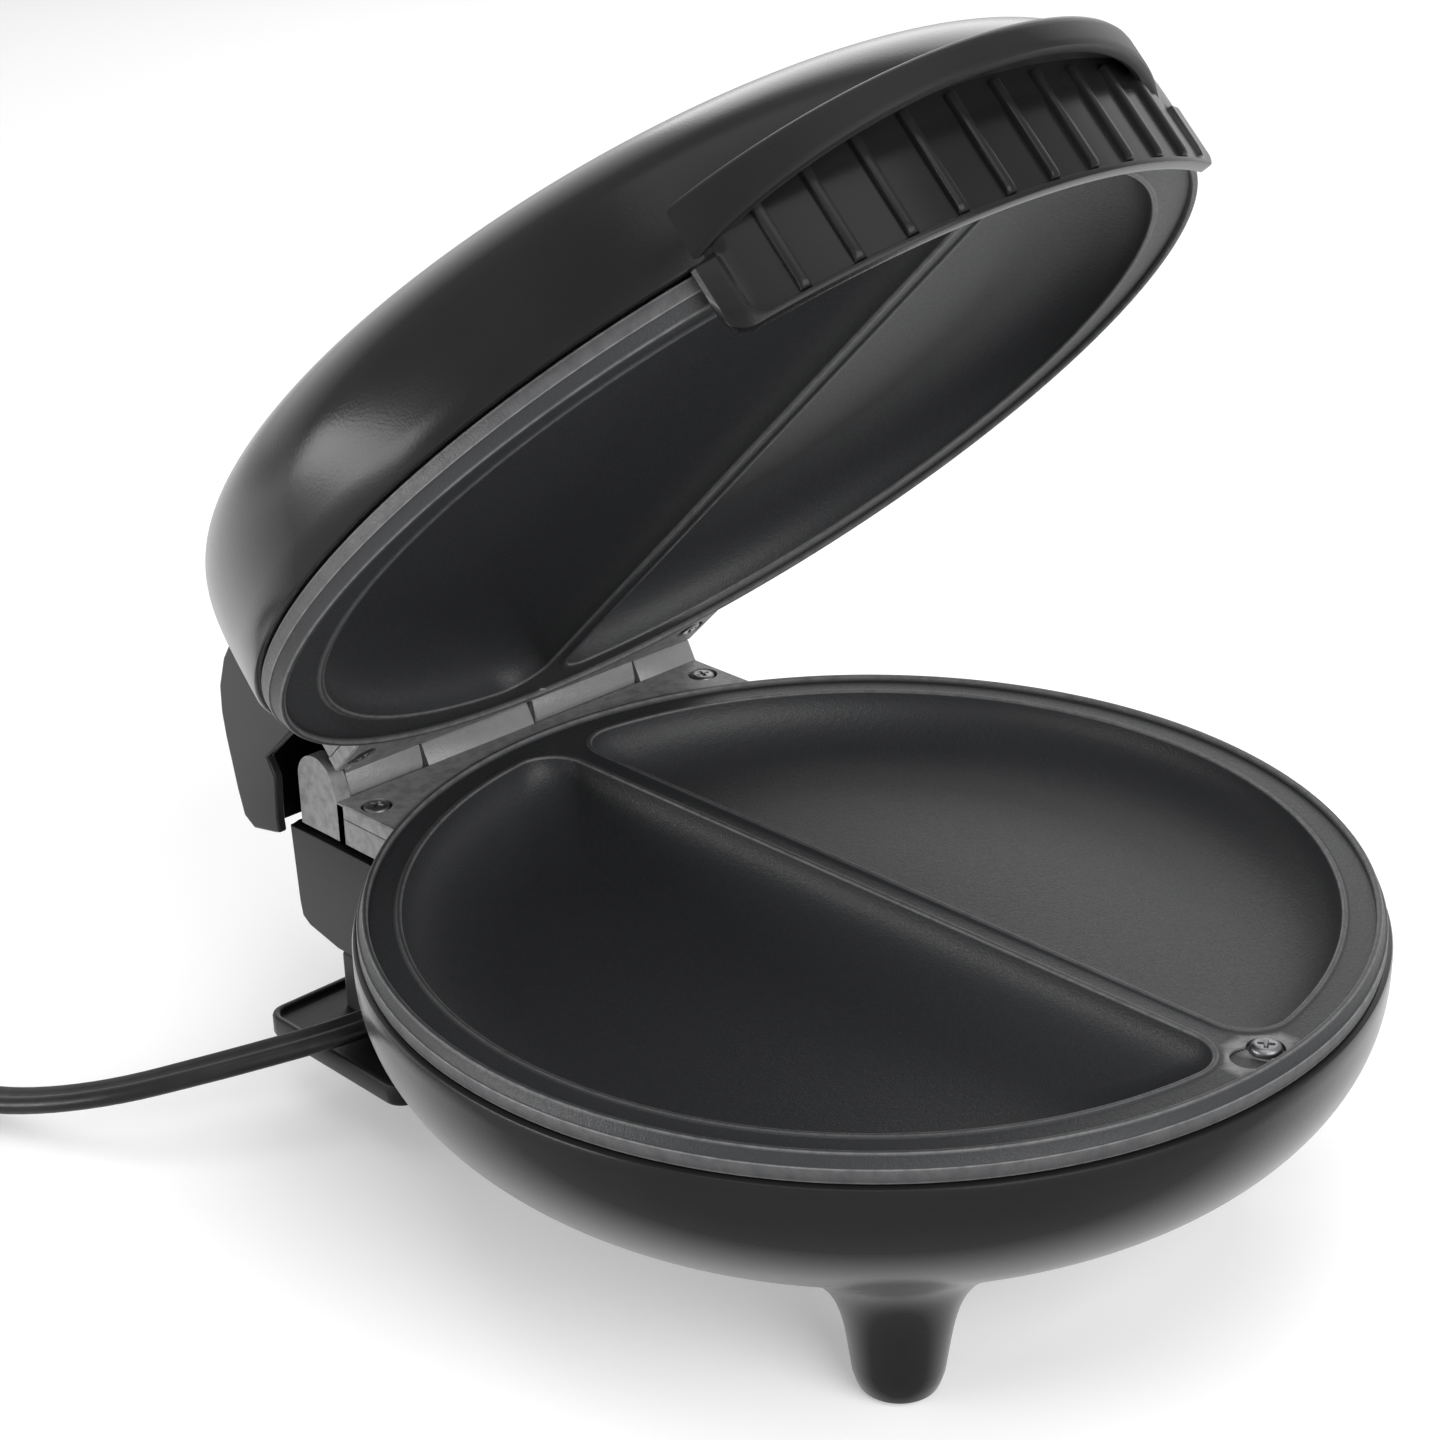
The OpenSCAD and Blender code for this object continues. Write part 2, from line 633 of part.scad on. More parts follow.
module terminal_block() {
    color("#efe9dc") centred() at_parting() translate(terminal_at) difference() {
        translate([-14, -6, -4.5]) cube([28, 12, 11]);
        for (x = [-8, 0, 8]) translate([x, 0, 3]) cylinder(r = 2, h = 8, $fn = 32);
        for (x = [-8, 0, 8]) translate([x, -8, 0.5]) rotate([-90, 0, 0]) cylinder(r = 1.4, h = 20, $fn = 32);
    }
}

// A wire along a list of points
module wire(points) {
    sweep(points, [for (i = [0 : 7]) wire_r * [cos(45 * i), sin(45 * i)]]);
}

module base_wiring() {
    y = terminal_at[1];
    z = terminal_at[2] + 0.5;
    tip = element_tip + 0.2;
    color("#b9b4a6") centred() at_parting() {
        wire([[element_x, tip, -element_z], [element_x, tip + 5, -element_z - 1], [12, 90, -24.4],
            [16, 94, z], [16, y - 6.2, z]]);
        wire([[-element_x, tip, -element_z], [-element_x, tip + 5, -element_z - 1], [-4, 90, -24.4],
            [0, 94, z], [0, y - 6.2, z]]);
        wire([[-28, 5.4, -rib_under - 10.2], [-28, 12, -28], [-26, 30, -28.5], [-22, 52, -28.5],
            [-12, 74, -28.5], [0, 88, -27.5], [8, 94, z], [8, y - 6.2, z]]);
        wire([[2, 82, -40.3], [8, 83, -38.5], [14, 85, -34], [19, 89, -30.5], [24, 97, -29.5], [26.5, 105, -28],
            [24.5, 111.4, -26.5], [19, 112.4, z], [16, y + 6.2, z]]);
        wire([[2, 84, -43.5], [6, 85.4, -42], [6.5, 86.2, -37], [4, 87.2, -32], [-1, 91, -31.6], [-7, 96, -31],
            [-11.5, 103, -30], [-11, 110, -27], [-5, 112.4, z], [0, y + 6.2, z]]);
    }
}

module lid_wiring() {
    tip = element_tip + 0.2;
    color("#b9b4a6") centred() on_lid() mirror([0, 0, 1]) for (s = [-1, 1])
        wire([[s * element_x, tip, -element_z], [s * element_x, tip + 6, -element_z], [s * 8, 96, -20],
            [s * 6, 108, -17], [s * 5, 116, -11], [s * 5, 119, -4]]);
}

module cord_grip() {
    l = grip_l;
    color("#121315") centred() translate(grip_point) rotate([0, -90, 0]) difference() {
        union() {
            hull() {
                translate([0, 0, 0.1]) linear_extrude(0.1) grip_section(1.9);
                translate([0, 0, l - 0.1]) linear_extrude(0.1) grip_section(0.9);
            }
            translate([0, 0, -wall - 2.5]) cylinder(r = 3.1, h = wall + 2.7, $fn = 32);
            translate([0, 0, -wall - 2.5]) cylinder(r = 3.8, h = 2.3, $fn = 32);
        }
        for (i = [0 : 3]) for (s = [-1, 1]) translate([s * (cord_t / 2 + 2), 0, 5.5 + i * 5])
            cube([1.8, 20, 1.8], center = true);
    }
}

module grip_section(margin) {
    hull() for (s = [-1, 1]) translate([0, s * (cord_w - cord_t) / 2]) circle(r = cord_t / 2 + margin, $fn = 24);
}

module hinge_pin() {
    color("silver") centred() at_parting() translate([-ledge_w / 2 + 0.4, hinge_y, hinge_z]) rotate([0, 90, 0])
        cylinder(r = pin_r, h = ledge_w - 0.8);
}

// The dome, inset by a wall and kept above a height
module lid_solid(inset, low) {
    intersection() {
        translate([0, 0, lid_edge]) rotate([lid_tilt, 0, 0]) rotate_extrude() polygon(concat([[0, -16],
            [lid_r - inset, -16]], dome(lid_r - inset, lid_h - lid_edge - inset, lid_power)));
        translate([0, 0, low]) cylinder(r = lid_r + 20, h = 80);
    }
}

function cover_outline() = [[60, skirt_z + 1], [110.5, 12.5], [111.6, 8.2], [118.7, 2], [120.8, -0.8],
    [cover_y - 7.5, 0.2], [cover_y - 1, 4.5], [cover_y, 8.2], [cover_y - 6.2, 18], [cover_y - 11.8, 26.8],
    [cover_y - 17, 31.6], [cover_y - 24, 34.8], [cover_y - 33, 36.2], [60, 37]];

module cover_hollow() {
    y = cover_y - cover_back_t;
    half = cover_w / 2 - 2;
    translate([-half, 0, 0]) rotate([90, 0, 90]) linear_extrude(2 * half) polygon([[60, -12], [y, -12], [y, 8.4],
        [y - 5.8, 17], [y - 11.2, 25.4], [y - 16.2, 29.8], [y - 22.6, 32.6], [y - 31, 33.9], [60, 34.7]]);
}

module lid_housing() {
    color("#1d1e20") centred() on_lid() {
        difference() {
            union() {
                lid_solid(0, lid_edge);
                translate([-cover_w / 2, 0, 0]) rotate([90, 0, 90]) linear_extrude(cover_w) polygon(cover_outline());
            }
            difference() {
                union() {
                    lid_solid(wall, -1);
                    cover_hollow();
                }
                screw_posts(1);
                lamp_bosses();
            }
            screw_bores(1);
            translate([-ledge_w / 2 - gap, 60, -2]) cube([ledge_w + 2 * gap, 70, skirt_z + 2 + gap]);
            both_sides() translate([lens_x, -lens_y, 0]) cylinder(r = lens_r + 0.05, h = 60);
            handle_bores();
        }
    }
}

// Short sleeves under the crown that hold the lamp holder
module lamp_bosses() {
    translate([0, -lens_y, lens_z - 8.5]) cylinder(r = 3, h = 10.4);
}

module handle_bores() {
    for (a = handle_screw_at) rotate([0, 0, a]) translate([0, -lid_r - 4, handle_screw_z])
        rotate([-90, 0, 0]) cylinder(r = screw_r, h = 14, $fn = 32);
}

// The plan of the hood: an arc in front, closed behind
module hood_plan(inset) {
    intersection() {
        translate([0, hood_r - hood_y]) circle(r = hood_r - inset);
        translate([-hood_half + inset, -150]) square([2 * (hood_half - inset), 80]);
    }
}

module grip_wedge(a) {
    linear_extrude(60, center = true) polygon([[0, 0], [140 * sin(-a), -140 * cos(a)], [0, -150],
        [140 * sin(a), -140 * cos(a)]]);
}

// The grip's wall: below the hood's ends it is round, above them it stays behind the band
module grip_wall(r) {
    intersection() {
        union() {
            translate([0, 0, -grip_drop]) cylinder(r = r, h = grip_drop + arch_end_z);
            intersection() {
                cylinder(r = r, h = hood_z - 1);
                linear_extrude(hood_z) hood_plan(1);
            }
        }
        grip_wedge(grip_half);
    }
}

// The band and roof of the hood over the grip, with the arched opening for the fingers
module hood() {
    difference() {
        translate([0, 0, arch_end_z - 1]) linear_extrude(hood_z - arch_end_z + 1) hood_plan(0);
        translate([0, 0, -grip_drop]) linear_extrude(hood_z + grip_drop - hood_t + 0.6) hood_plan(hood_t);
        rotate([90, 0, 0]) linear_extrude(200) polygon(concat([[arch_half, -30]], [for (i = [0 : 40])
            let (a = 180 * i / 40, c = cos(a)) [arch_half * sign(c) * pow(abs(c), 2 / arch_power),
            arch_end_z - 1.5 + (arch_z - arch_end_z + 1.5) * pow(sin(a), 2 / arch_power)]], [[-arch_half, -30]]));
    }
}

module handle() {
    color("#18191b") centred() on_lid() difference() {
        rotate([0, 0, handle_turn]) union() {
            difference() {
                grip_wall(grip_r);
                intersection() {
                    translate([0, 0, -grip_drop + 1.4]) difference() {
                        cylinder(r = grip_r + 1, h = grip_drop + arch_z - 1.8);
                        translate([0, 0, -1]) cylinder(r = grip_r - panel_in, h = 60);
                    }
                    grip_wedge(grip_half - 3);
                }
            }
            hood();
            for (i = [0 : ribs - 1]) rotate([0, 0, (i - (ribs - 1) / 2) * rib_pitch])
                translate([-rib_w / 2, -grip_r - rib_out, -grip_drop + 1.2])
                    cube([rib_w, 3, hood_z + grip_drop - 3]);
        }
        lid_solid(-0.05, lid_edge - 0.3);
        translate([0, 0, -20]) cylinder(r = lid_r - 0.3, h = 20 + lid_edge - 0.2);
        for (a = handle_screw_at) rotate([0, 0, a]) translate([0, -grip_r + 0.5, handle_screw_z])
            rotate([-90, 0, 0]) cylinder(r = screw_r - 0.4, h = 14, $fn = 32);
    }
}

module handle_screws() {
    color("silver") centred() on_lid() for (a = handle_screw_at) rotate([0, 0, a])
        translate([0, -lid_r + wall + 0.4, handle_screw_z]) rotate([90, 0, 0])
            pan_screw(screw_r - 0.5, 2.6, grip_r - lid_r + wall - 1);
}

module indicator_lenses() {
    color("#b0382a") centred() on_lid() both_sides() translate([lens_x, -lens_y, lens_z - 3.2]) {
        cylinder(r = lens_r, h = 3);
        translate([0, 0, 3 - e]) cylinder(r1 = lens_r, r2 = lens_r - 0.8, h = 0.6);
    }
}

module indicator_lamps() {
    color("#e6d9c8") centred() on_lid() both_sides() translate([lens_x, -lens_y, lens_z - 12.4]) {
        cylinder(r = 2.2, h = 7.2);
        translate([0, 0, 7.2 - e]) sphere(r = 1.8, $fn = 32);
    }
}

module lamp_holder() {
    color("#1c1c1e") centred() on_lid() difference() {
        translate([-lens_x - 5, -lens_y - 4, lens_z - 11.6]) cube([2 * lens_x + 10, 8, 3]);
        both_sides() translate([lens_x, -lens_y, 0]) cylinder(r = 2.25, h = 60);
    }
}

// A flat section lying level: two round edges of n points each
function flat_section(w, t, n) = [for (s = [0, 1], i = [0 : n - 1]) let (a = -90 + 180 * (i + 0.5) / n + 180 * s)
    [(s == 0 ? 1 : -1) * (w - t) / 2 + t / 2 * cos(a), t / 2 * sin(a)]];

function unit(v) = v / norm(v);

// Sweeps a section along points, its width kept level
function sweep_points(path, section) = [for (i = [0 : len(path) - 1]) let (
    t = unit(path[min(i + 1, len(path) - 1)] - path[max(i - 1, 0)]),
    side = unit(cross(t, [0, 0, 1])), up = cross(side, t))
    each [for (p = section) path[i] + side * p[0] + up * p[1]]];

module sweep(path, section) {
    n = len(section);
    polyhedron(sweep_points(path, section), skin_faces(len(path), n), convexity = 8);
}

module cord() {
    color("#151618") centred() sweep(cord_route, flat_section(cord_w, cord_t, 5));
}

// The coil winds in on one layer, climbs where it turns back, and winds out on the next
coil_end = 360 * coil_turns;
function coil_radius(u) = coil_r - coil_pitch * (min(u, coil_end - u)) / 360;
function coil_climb(u) = let (f = min(max((u - coil_end / 2 + 110) / 180, 0), 1)) coil_step * f * f * (3 - 2 * f);
function coil_point(u) = [coil_at[0] + coil_radius(u) * cos(u), coil_at[1] + coil_radius(u) * sin(u),
    coil_z + coil_climb(u)];
coil_path = concat([cord_route[len(cord_route) - 1]], [for (i = [0 : 24 * coil_turns]) coil_point(i * 15)],
    [coil_point(coil_end) + [0, -coil_tail, 0]]);
coil_gap = min([for (i = [0 : len(coil_path) - 1], j = [i + 12 : 1 : len(coil_path) - 1])
    let (d = coil_path[j] - coil_path[i], flat = norm([d[0], d[1]]))
    flat > cord_w - cord_t ? norm([flat - (cord_w - cord_t), d[2]]) - cord_t : abs(d[2]) - cord_t]);

module cord_coil() {
    echo(coil_gap = coil_gap);
    color("#151618") centred() sweep(coil_path, flat_section(cord_w, cord_t, 3));
}

module cord_tie() {
    low = coil_z - cord_t / 2 - 0.75;
    high = coil_z + coil_step + cord_t / 2 + 0.3;
    inner = coil_r - coil_pitch * coil_turns / 2 - cord_w / 2 - 0.8;
    outer = coil_r + cord_w / 2 + 0.8;
    color("#e9e9ea") centred() translate([coil_at[0], coil_at[1], 0]) rotate([90, 0, 45]) translate([0, 0, -2]) linear_extrude(4)
        difference() {
            translate([inner - 0.6, low]) square([outer - inner + 1.2, high - low + 0.6]);
            translate([inner, low + 0.5]) square([outer - inner, high - low - 0.5]);
        }
}

plug_at = coil_path[len(coil_path) - 1];

module plug_body() {
    color("#131416") centred() translate(plug_at) rotate([90, 0, 0]) {
        hull() {
            linear_extrude(0.2) grip_flat(0.8);
            translate([0, 0, plug_l * 0.45]) linear_extrude(0.2) grip_flat(2.2);
        }
        translate([0, 0, plug_l * 0.45]) hull() {
            linear_extrude(0.2) offset(1.5) square([18, 5.5], center = true);
            translate([0, 0, plug_l * 0.55 - 0.4]) linear_extrude(0.4) offset(1.5) square([21, 9], center = true);
        }
    }
}

module grip_flat(margin) {
    hull() for (s = [-1, 1]) translate([s * (cord_w - cord_t) / 2, 0]) circle(r = cord_t / 2 + margin, $fn = 24);
}

module plug_blades() {
    color("#c9b37a") centred() translate(plug_at) rotate([90, 0, 0]) for (s = [-1, 1])
        translate([s * 6.35 - 0.75, -3.15, plug_l]) cube([1.5, 6.3, 16]);
}

base_housing();
rear_stand();
foot_pads();
stand_screws();
lower_plate();
lower_plate_screws();
lower_element();
lower_heat_shield();
lower_shield_screws();
thermostat();
thermal_fuse();
sensor_clips();
terminal_block();
base_wiring();
cord_grip();
hinge_pin();
upper_plate();
upper_plate_screws();
upper_element();
upper_heat_shield();
upper_shield_screws();
lid_housing();
handle();
handle_screws();
indicator_lenses();
indicator_lamps();
lamp_holder();
lid_wiring();
cord();
cord_coil();
cord_tie();
plug_body();
plug_blades();
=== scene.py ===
"""Electric omelette maker: its visible pieces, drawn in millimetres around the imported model."""

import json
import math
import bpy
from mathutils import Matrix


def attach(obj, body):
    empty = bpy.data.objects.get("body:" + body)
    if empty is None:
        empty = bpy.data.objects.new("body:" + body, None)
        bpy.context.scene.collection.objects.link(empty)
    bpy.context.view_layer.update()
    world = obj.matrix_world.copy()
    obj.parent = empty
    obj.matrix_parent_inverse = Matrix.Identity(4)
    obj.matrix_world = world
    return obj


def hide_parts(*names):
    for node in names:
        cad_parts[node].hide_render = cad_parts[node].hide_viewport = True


bl_info = {
    "name": "Omelette maker",
    "version": (1, 0, 0),
    "blender": (4, 5, 0),
    "location": "View3D > Sidebar > Omelette maker",
    "description": "Builds the visible pieces of an electric omelette maker around its packed model",
    "category": "Object",
}

import bmesh
import bpy
import numpy as np
from bpy.props import FloatProperty, FloatVectorProperty, IntProperty, PointerProperty
from bpy.types import Operator, Panel, PropertyGroup
from mathutils import Matrix, Vector
from mathutils.geometry import delaunay_2d_cdt

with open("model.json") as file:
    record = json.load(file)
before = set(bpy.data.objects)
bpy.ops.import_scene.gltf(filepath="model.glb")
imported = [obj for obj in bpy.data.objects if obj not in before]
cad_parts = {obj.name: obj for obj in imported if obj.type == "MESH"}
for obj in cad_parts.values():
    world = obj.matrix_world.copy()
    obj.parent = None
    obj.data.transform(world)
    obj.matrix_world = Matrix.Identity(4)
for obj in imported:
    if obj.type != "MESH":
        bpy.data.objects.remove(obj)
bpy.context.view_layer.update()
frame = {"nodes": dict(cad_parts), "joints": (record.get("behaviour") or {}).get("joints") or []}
NODES = frame["nodes"]
HINGE = frame["joints"][0]
MM = 0.001

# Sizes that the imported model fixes, in millimetres. Everything is drawn about the plates' axis,
# which lies MIDDLE_Y in front of the frame's origin.
PARTING = 66.5
HINGE_Y = 105.0
MIDDLE_Y = HINGE_Y - HINGE["pos_m"][1] * 1000
HINGE_Z = HINGE["pos_m"][2] * 1000 - PARTING
OPEN_ANGLE = -HINGE["range_deg"][0]
LIP_R = 95.5
PLATE_R = 96.6
UPPER_GROW = 1.9
LAND_Z = -1.2
FLANGE_Z = -5.3
LIP_W = 1.3
POCKET_R = 88.0
POCKET_RUN = 20.0
POCKET_DEPTH = 12.5
POCKET_CORNER = 8.0
DIVIDER_W = 6.2
CASTING_T = 2.8
LEDGE_HALF = 50.0
LEDGE_Y = 100.0
LEDGE_TOP = -0.6
LEDGE_UNDER = -3.8
SKIRT_Z = -9.4
SKIRT_T = 2.2
BARREL_R = 4.25
KNUCKLES = (-46.0, -26.5, 3.2, 32.9, 50.0)
KNUCKLE_GAP = 1.0
SCREWS = ((-45.3, 93.0), (45.3, 93.0))
FRONT_SCREW = (2.2, -90.4)
SEAT_R = 3.4
REAR_SEAT = 1.3
FRONT_SEAT = 0.6
BASE_R = 97.65
BASE_EDGE = -5.6
BOWL_FROM = -9.0
BOWL_H = 45.0
BOWL_POWER = 2.2
LID_R = 99.6
LID_EDGE = 5.7
LID_H = 43.1
LID_POWER = 4.2
LID_TILT = math.radians(2.75)
WALL = 2.2
BLOCK_Y = 117.4
BLOCK_TOP = -11.5
BLOCK_UNDER = -35.8
COVER_HALF = 54.0
GRIP_R = 101.8
GRIP_HALF = 32.5
GRIP_DROP = 7.6
RIB_PITCH = 5.5
HOOD_R = 63.5
HOOD_Y = 112.4
HOOD_HALF = 53.1
HOOD_Z = 16.55
ARCH_Z = 10.5
ARCH_END = 6.2
ARCH_HALF = 53.3
HANDLE_TURN = math.radians(-5.5)
ARCH_POWER = 2.4
HOOD_INNER = 98.2
GRIP_INNER = 99.4
LEGS = ((-45, -50), (45, -50), (-45, 42), (45, 42))
FOOT_R = 7.8
LEG_LEAN = 0.14
OUTLET_X = (-4.0, 24.0)
OUTLET_Y = (62.0, 92.0)
OUTLET_Z = (-47.2, -33.0)
TRAY_W = 130.0
TRAY_D = 45.0
TRAY_Y = 88.5
TRAY_CORNER = 4.2
TRAY_TOP = 19.1
TRAY_UNDER = 14.3
NECK_FRONT = 95.0
NECK_BACK = 103.0
HEAD_R = 2.8
HEAD_H = 1.5
SHANK_R = 1.35
SHANK_L = 14.0

# The cord's route from its strain relief to the coil, and the coil
CORD_ROUTE = [(-30, 83, 25.4), (-42, 83, 25), (-53, 84.5, 24.1), (-64, 88, 22.8), (-75, 93.5, 21.2),
              (-88, 101.5, 18.8), (-99, 112, 15), (-107, 124.5, 10.9), (-112.5, 138, 7.2),
              (-116, 152, 4.6), (-118, 166, 3.1), (-118.5, 180, 2.8)]
CORD_W = 7.4
CORD_T = 3.8
COIL_R = 46.0
COIL_TURNS = 2.5
COIL_AT = (-118.5 - COIL_R, 188.0)
COIL_Z = 2.8
COIL_PITCH = CORD_W + 1.0
COIL_STEP = CORD_T + 0.9
COIL_TAIL = 20.0
RELIEF_L = 26.0
PLUG_L = 30.0

# Steps round the plates, the bowl and the dome, and the place among a casting's two finishes of the knuckles'
# paler coating, a painted highlight
ROUND_STEPS = 256
KNUCKLE_HIGHLIGHT = 1

# The photograph's camera: how it is turned, its distance from the plates' middle, how far that middle
# lies off the picture's, and its focal length in pixels of a picture so many pixels wide
CAMERA_TURN = (-43.34, 24.42, -1.41)
CAMERA_AWAY = 538.05
CAMERA_ASIDE = 27.96
CAMERA_UP = 29.37
FOCAL_PIXELS = 2840.3
PICTURE_PIXELS = 1440
SENSOR_W = 36.0

# The lamps, in metres: width, height, place and the height above the origin at which each is aimed
LAMPS = {
    "side": (0.8, 0.25, (-1.0, 0.50, 0.16), 0.12),
    "rear": (1.0, 1.0, (0.95, 0.80, 0.85), 0.08),
    "top": (1.2, 1.2, (-0.1, -0.2, 1.5), 0.0),
    "front": (1.4, 1.4, (-0.2, -1.5, 0.8), 0.0),
}
WORLD_LIGHT = 0.30
FLOOR_COLOUR = 0.80
FLOOR_GLOW = 0.28


class ShapeSettings(PropertyGroup):
    """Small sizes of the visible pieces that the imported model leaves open."""

    bead_height: FloatProperty(name="Pocket bead height", default=0.42, min=0.1, max=0.8,
                               description="Height of the narrow bead round each pocket, in millimetres")
    bead_width: FloatProperty(name="Pocket bead width", default=1.25, min=0.6, max=2.0,
                              description="Width of the narrow bead round each pocket, in millimetres")
    panel_depth: FloatProperty(name="Grip panel depth", default=0.7, min=0.3, max=1.0,
                               description="Depth of the grip's panel between its borders, in millimetres")
    rib_height: FloatProperty(name="Grip rib height", default=0.95, min=0.5, max=1.0,
                              description="How far a rib stands out of the grip's panel, in millimetres")
    rib_width: FloatProperty(name="Grip rib width", default=2.0, min=1.2, max=3.0,
                             description="Width of a rib of the grip, in millimetres")
    rib_count: IntProperty(name="Grip ribs", default=10, min=6, max=10,
                           description="Number of ribs across the grip")
    valley: FloatProperty(name="Cord valley", default=0.75, min=0.2, max=1.4,
                          description="Depth of the valley between the cord's two cores, in millimetres")


class FinishSettings(PropertyGroup):
    """Colours and surfaces of the visible pieces."""

    coating: FloatVectorProperty(name="Non-stick coating", subtype="COLOR", size=3,
                                 default=(0.022, 0.0225, 0.024), min=0, max=1,
                                 description="Colour of the plates' non-stick coating")
    housing: FloatVectorProperty(name="Housing", subtype="COLOR", size=3, default=(0.007, 0.007, 0.0075),
                                 min=0, max=1, description="Colour of the moulded base and lid")
    matte: FloatVectorProperty(name="Matte mouldings", subtype="COLOR", size=3,
                               default=(0.008, 0.008, 0.0087), min=0, max=1,
                               description="Colour of the handle's hood and of the rear stand")
    sheath: FloatVectorProperty(name="Cord sheath", subtype="COLOR", size=3, default=(0.006, 0.006, 0.0065),
                                min=0, max=1, description="Colour of the mains cord and its plug")
    gloss: FloatProperty(name="Housing roughness", default=0.24, min=0.05, max=0.8, subtype="FACTOR",
                         description="Roughness of the moulded base and lid")


class StageSettings(PropertyGroup):
    """Strength of the studio's lamps."""

    side: FloatProperty(name="Side lamp", default=10.0, min=0, max=100, subtype="POWER",
                        description="Power of the low lamp beside the dome")
    rear: FloatProperty(name="Rear lamp", default=5.0, min=0, max=100, subtype="POWER",
                        description="Power of the large lamp behind the right side")
    top: FloatProperty(name="Top lamp", default=9.0, min=0, max=100, subtype="POWER",
                       description="Power of the large soft lamp above")
    front: FloatProperty(name="Front lamp", default=32.0, min=0, max=100, subtype="POWER",
                         description="Power of the large lamp in front")


def shape():
    """The small sizes set in the panel."""
    return bpy.context.scene.omelette_shape


def finish():
    """The colours and surfaces set in the panel."""
    return bpy.context.scene.omelette_finish


# Materials


class Surface:
    """A node material under construction."""

    def __init__(self, name, colour, roughness, metallic=0.0):
        self.material = bpy.data.materials.new(name)
        self.material.use_nodes = True
        self.material.diffuse_color = (*colour, 1.0)
        self.tree = self.material.node_tree
        self.shader = self.tree.nodes["Principled BSDF"]
        self.shader.inputs["Roughness"].default_value = roughness
        self.shader.inputs["Metallic"].default_value = metallic
        self.colour = tuple(colour)
        self.roughness = roughness
        self.where = self.node("ShaderNodeTexCoord").outputs["Object"]
        self.shader.inputs["Base Color"].default_value = (*colour, 1.0)

    def node(self, kind, **values):
        """Adds a shader node with these settings."""
        made = self.tree.nodes.new(kind)
        for key, value in values.items():
            setattr(made, key, value)
        return made

    def link(self, a, b):
        """Joins an output to an input."""
        self.tree.links.new(a, b)

    def noise(self, scale, detail=3.0, roughness=0.55, stretch=None):
        """Soft noise, from zero to one."""
        made = self.node("ShaderNodeTexNoise")
        made.inputs["Scale"].default_value = scale
        made.inputs["Detail"].default_value = detail
        made.inputs["Roughness"].default_value = roughness
        self.link(self.stretched(stretch), made.inputs["Vector"])
        return made.outputs["Fac"]

    def cells(self, scale):
        """Distance from the middle of the nearest of many small cells."""
        made = self.node("ShaderNodeTexVoronoi")
        made.inputs["Scale"].default_value = scale
        self.link(self.where, made.inputs["Vector"])
        return made.outputs["Distance"]

    def stretched(self, stretch):
        """The place on the piece, drawn out by these factors."""
        if not stretch:
            return self.where
        made = self.node("ShaderNodeMapping")
        made.inputs["Scale"].default_value = stretch
        self.link(self.where, made.inputs["Vector"])
        return made.outputs["Vector"]

    def ramp(self, value, low, high, out_low, out_high):
        """Maps a value from one range to another, held at its ends."""
        made = self.node("ShaderNodeMapRange")
        made.inputs["From Min"].default_value = low
        made.inputs["From Max"].default_value = high
        made.inputs["To Min"].default_value = out_low
        made.inputs["To Max"].default_value = out_high
        self.link(value, made.inputs["Value"])
        return made.outputs["Result"]

    def times(self, a, b):
        """The product of two values."""
        made = self.node("ShaderNodeMath", operation="MULTIPLY")
        self.link(a, made.inputs[0])
        self.link(b, made.inputs[1])
        return made.outputs[0]

    def tint(self, amount, other):
        """Mixes another colour over what the base colour holds so far."""
        mix = self.node("ShaderNodeMix", data_type="RGBA")
        socket = self.shader.inputs["Base Color"]
        if socket.is_linked:
            self.link(socket.links[0].from_socket, mix.inputs[6])
        else:
            mix.inputs[6].default_value = (*self.colour, 1.0)
        mix.inputs[7].default_value = (*other, 1.0)
        self.link(amount, mix.inputs[0])
        self.link(mix.outputs[2], socket)

    def vary_roughness(self, value, low, high, spread):
        """Lets the roughness follow a value, by so much either way."""
        self.link(self.ramp(value, low, high, self.roughness - spread, self.roughness + spread),
                  self.shader.inputs["Roughness"])

    def gloss_towards_edge(self, facing, grazing):
        """Satin plastic: little gloss where it faces the eye, more where it is seen along its surface."""
        made = self.node("ShaderNodeLayerWeight")
        made.inputs["Blend"].default_value = 0.5
        self.link(self.ramp(made.outputs["Facing"], 0.42, 0.9, facing, grazing),
                  self.shader.inputs["Specular IOR Level"])

    def bump(self, height, strength, distance):
        """Adds relief to what the surface has so far."""
        made = self.node("ShaderNodeBump")
        made.inputs["Strength"].default_value = strength
        made.inputs["Distance"].default_value = distance
        self.link(height, made.inputs["Height"])
        socket = self.shader.inputs["Normal"]
        if socket.is_linked:
            self.link(socket.links[0].from_socket, made.inputs["Normal"])
        self.link(made.outputs["Normal"], socket)

    def edges(self):
        """How sharply the surface stands out, as the mesh stores it."""
        made = self.node("ShaderNodeAttribute", attribute_name="edge_wear")
        return made.outputs["Fac"]

    def set(self, **values):
        """Sets some of the shader's plain values."""
        names = {"coat": "Coat Weight", "coat_roughness": "Coat Roughness", "ior": "IOR",
                 "transmission": "Transmission Weight", "specular": "Specular IOR Level"}
        for key, value in values.items():
            self.shader.inputs[names[key]].default_value = value


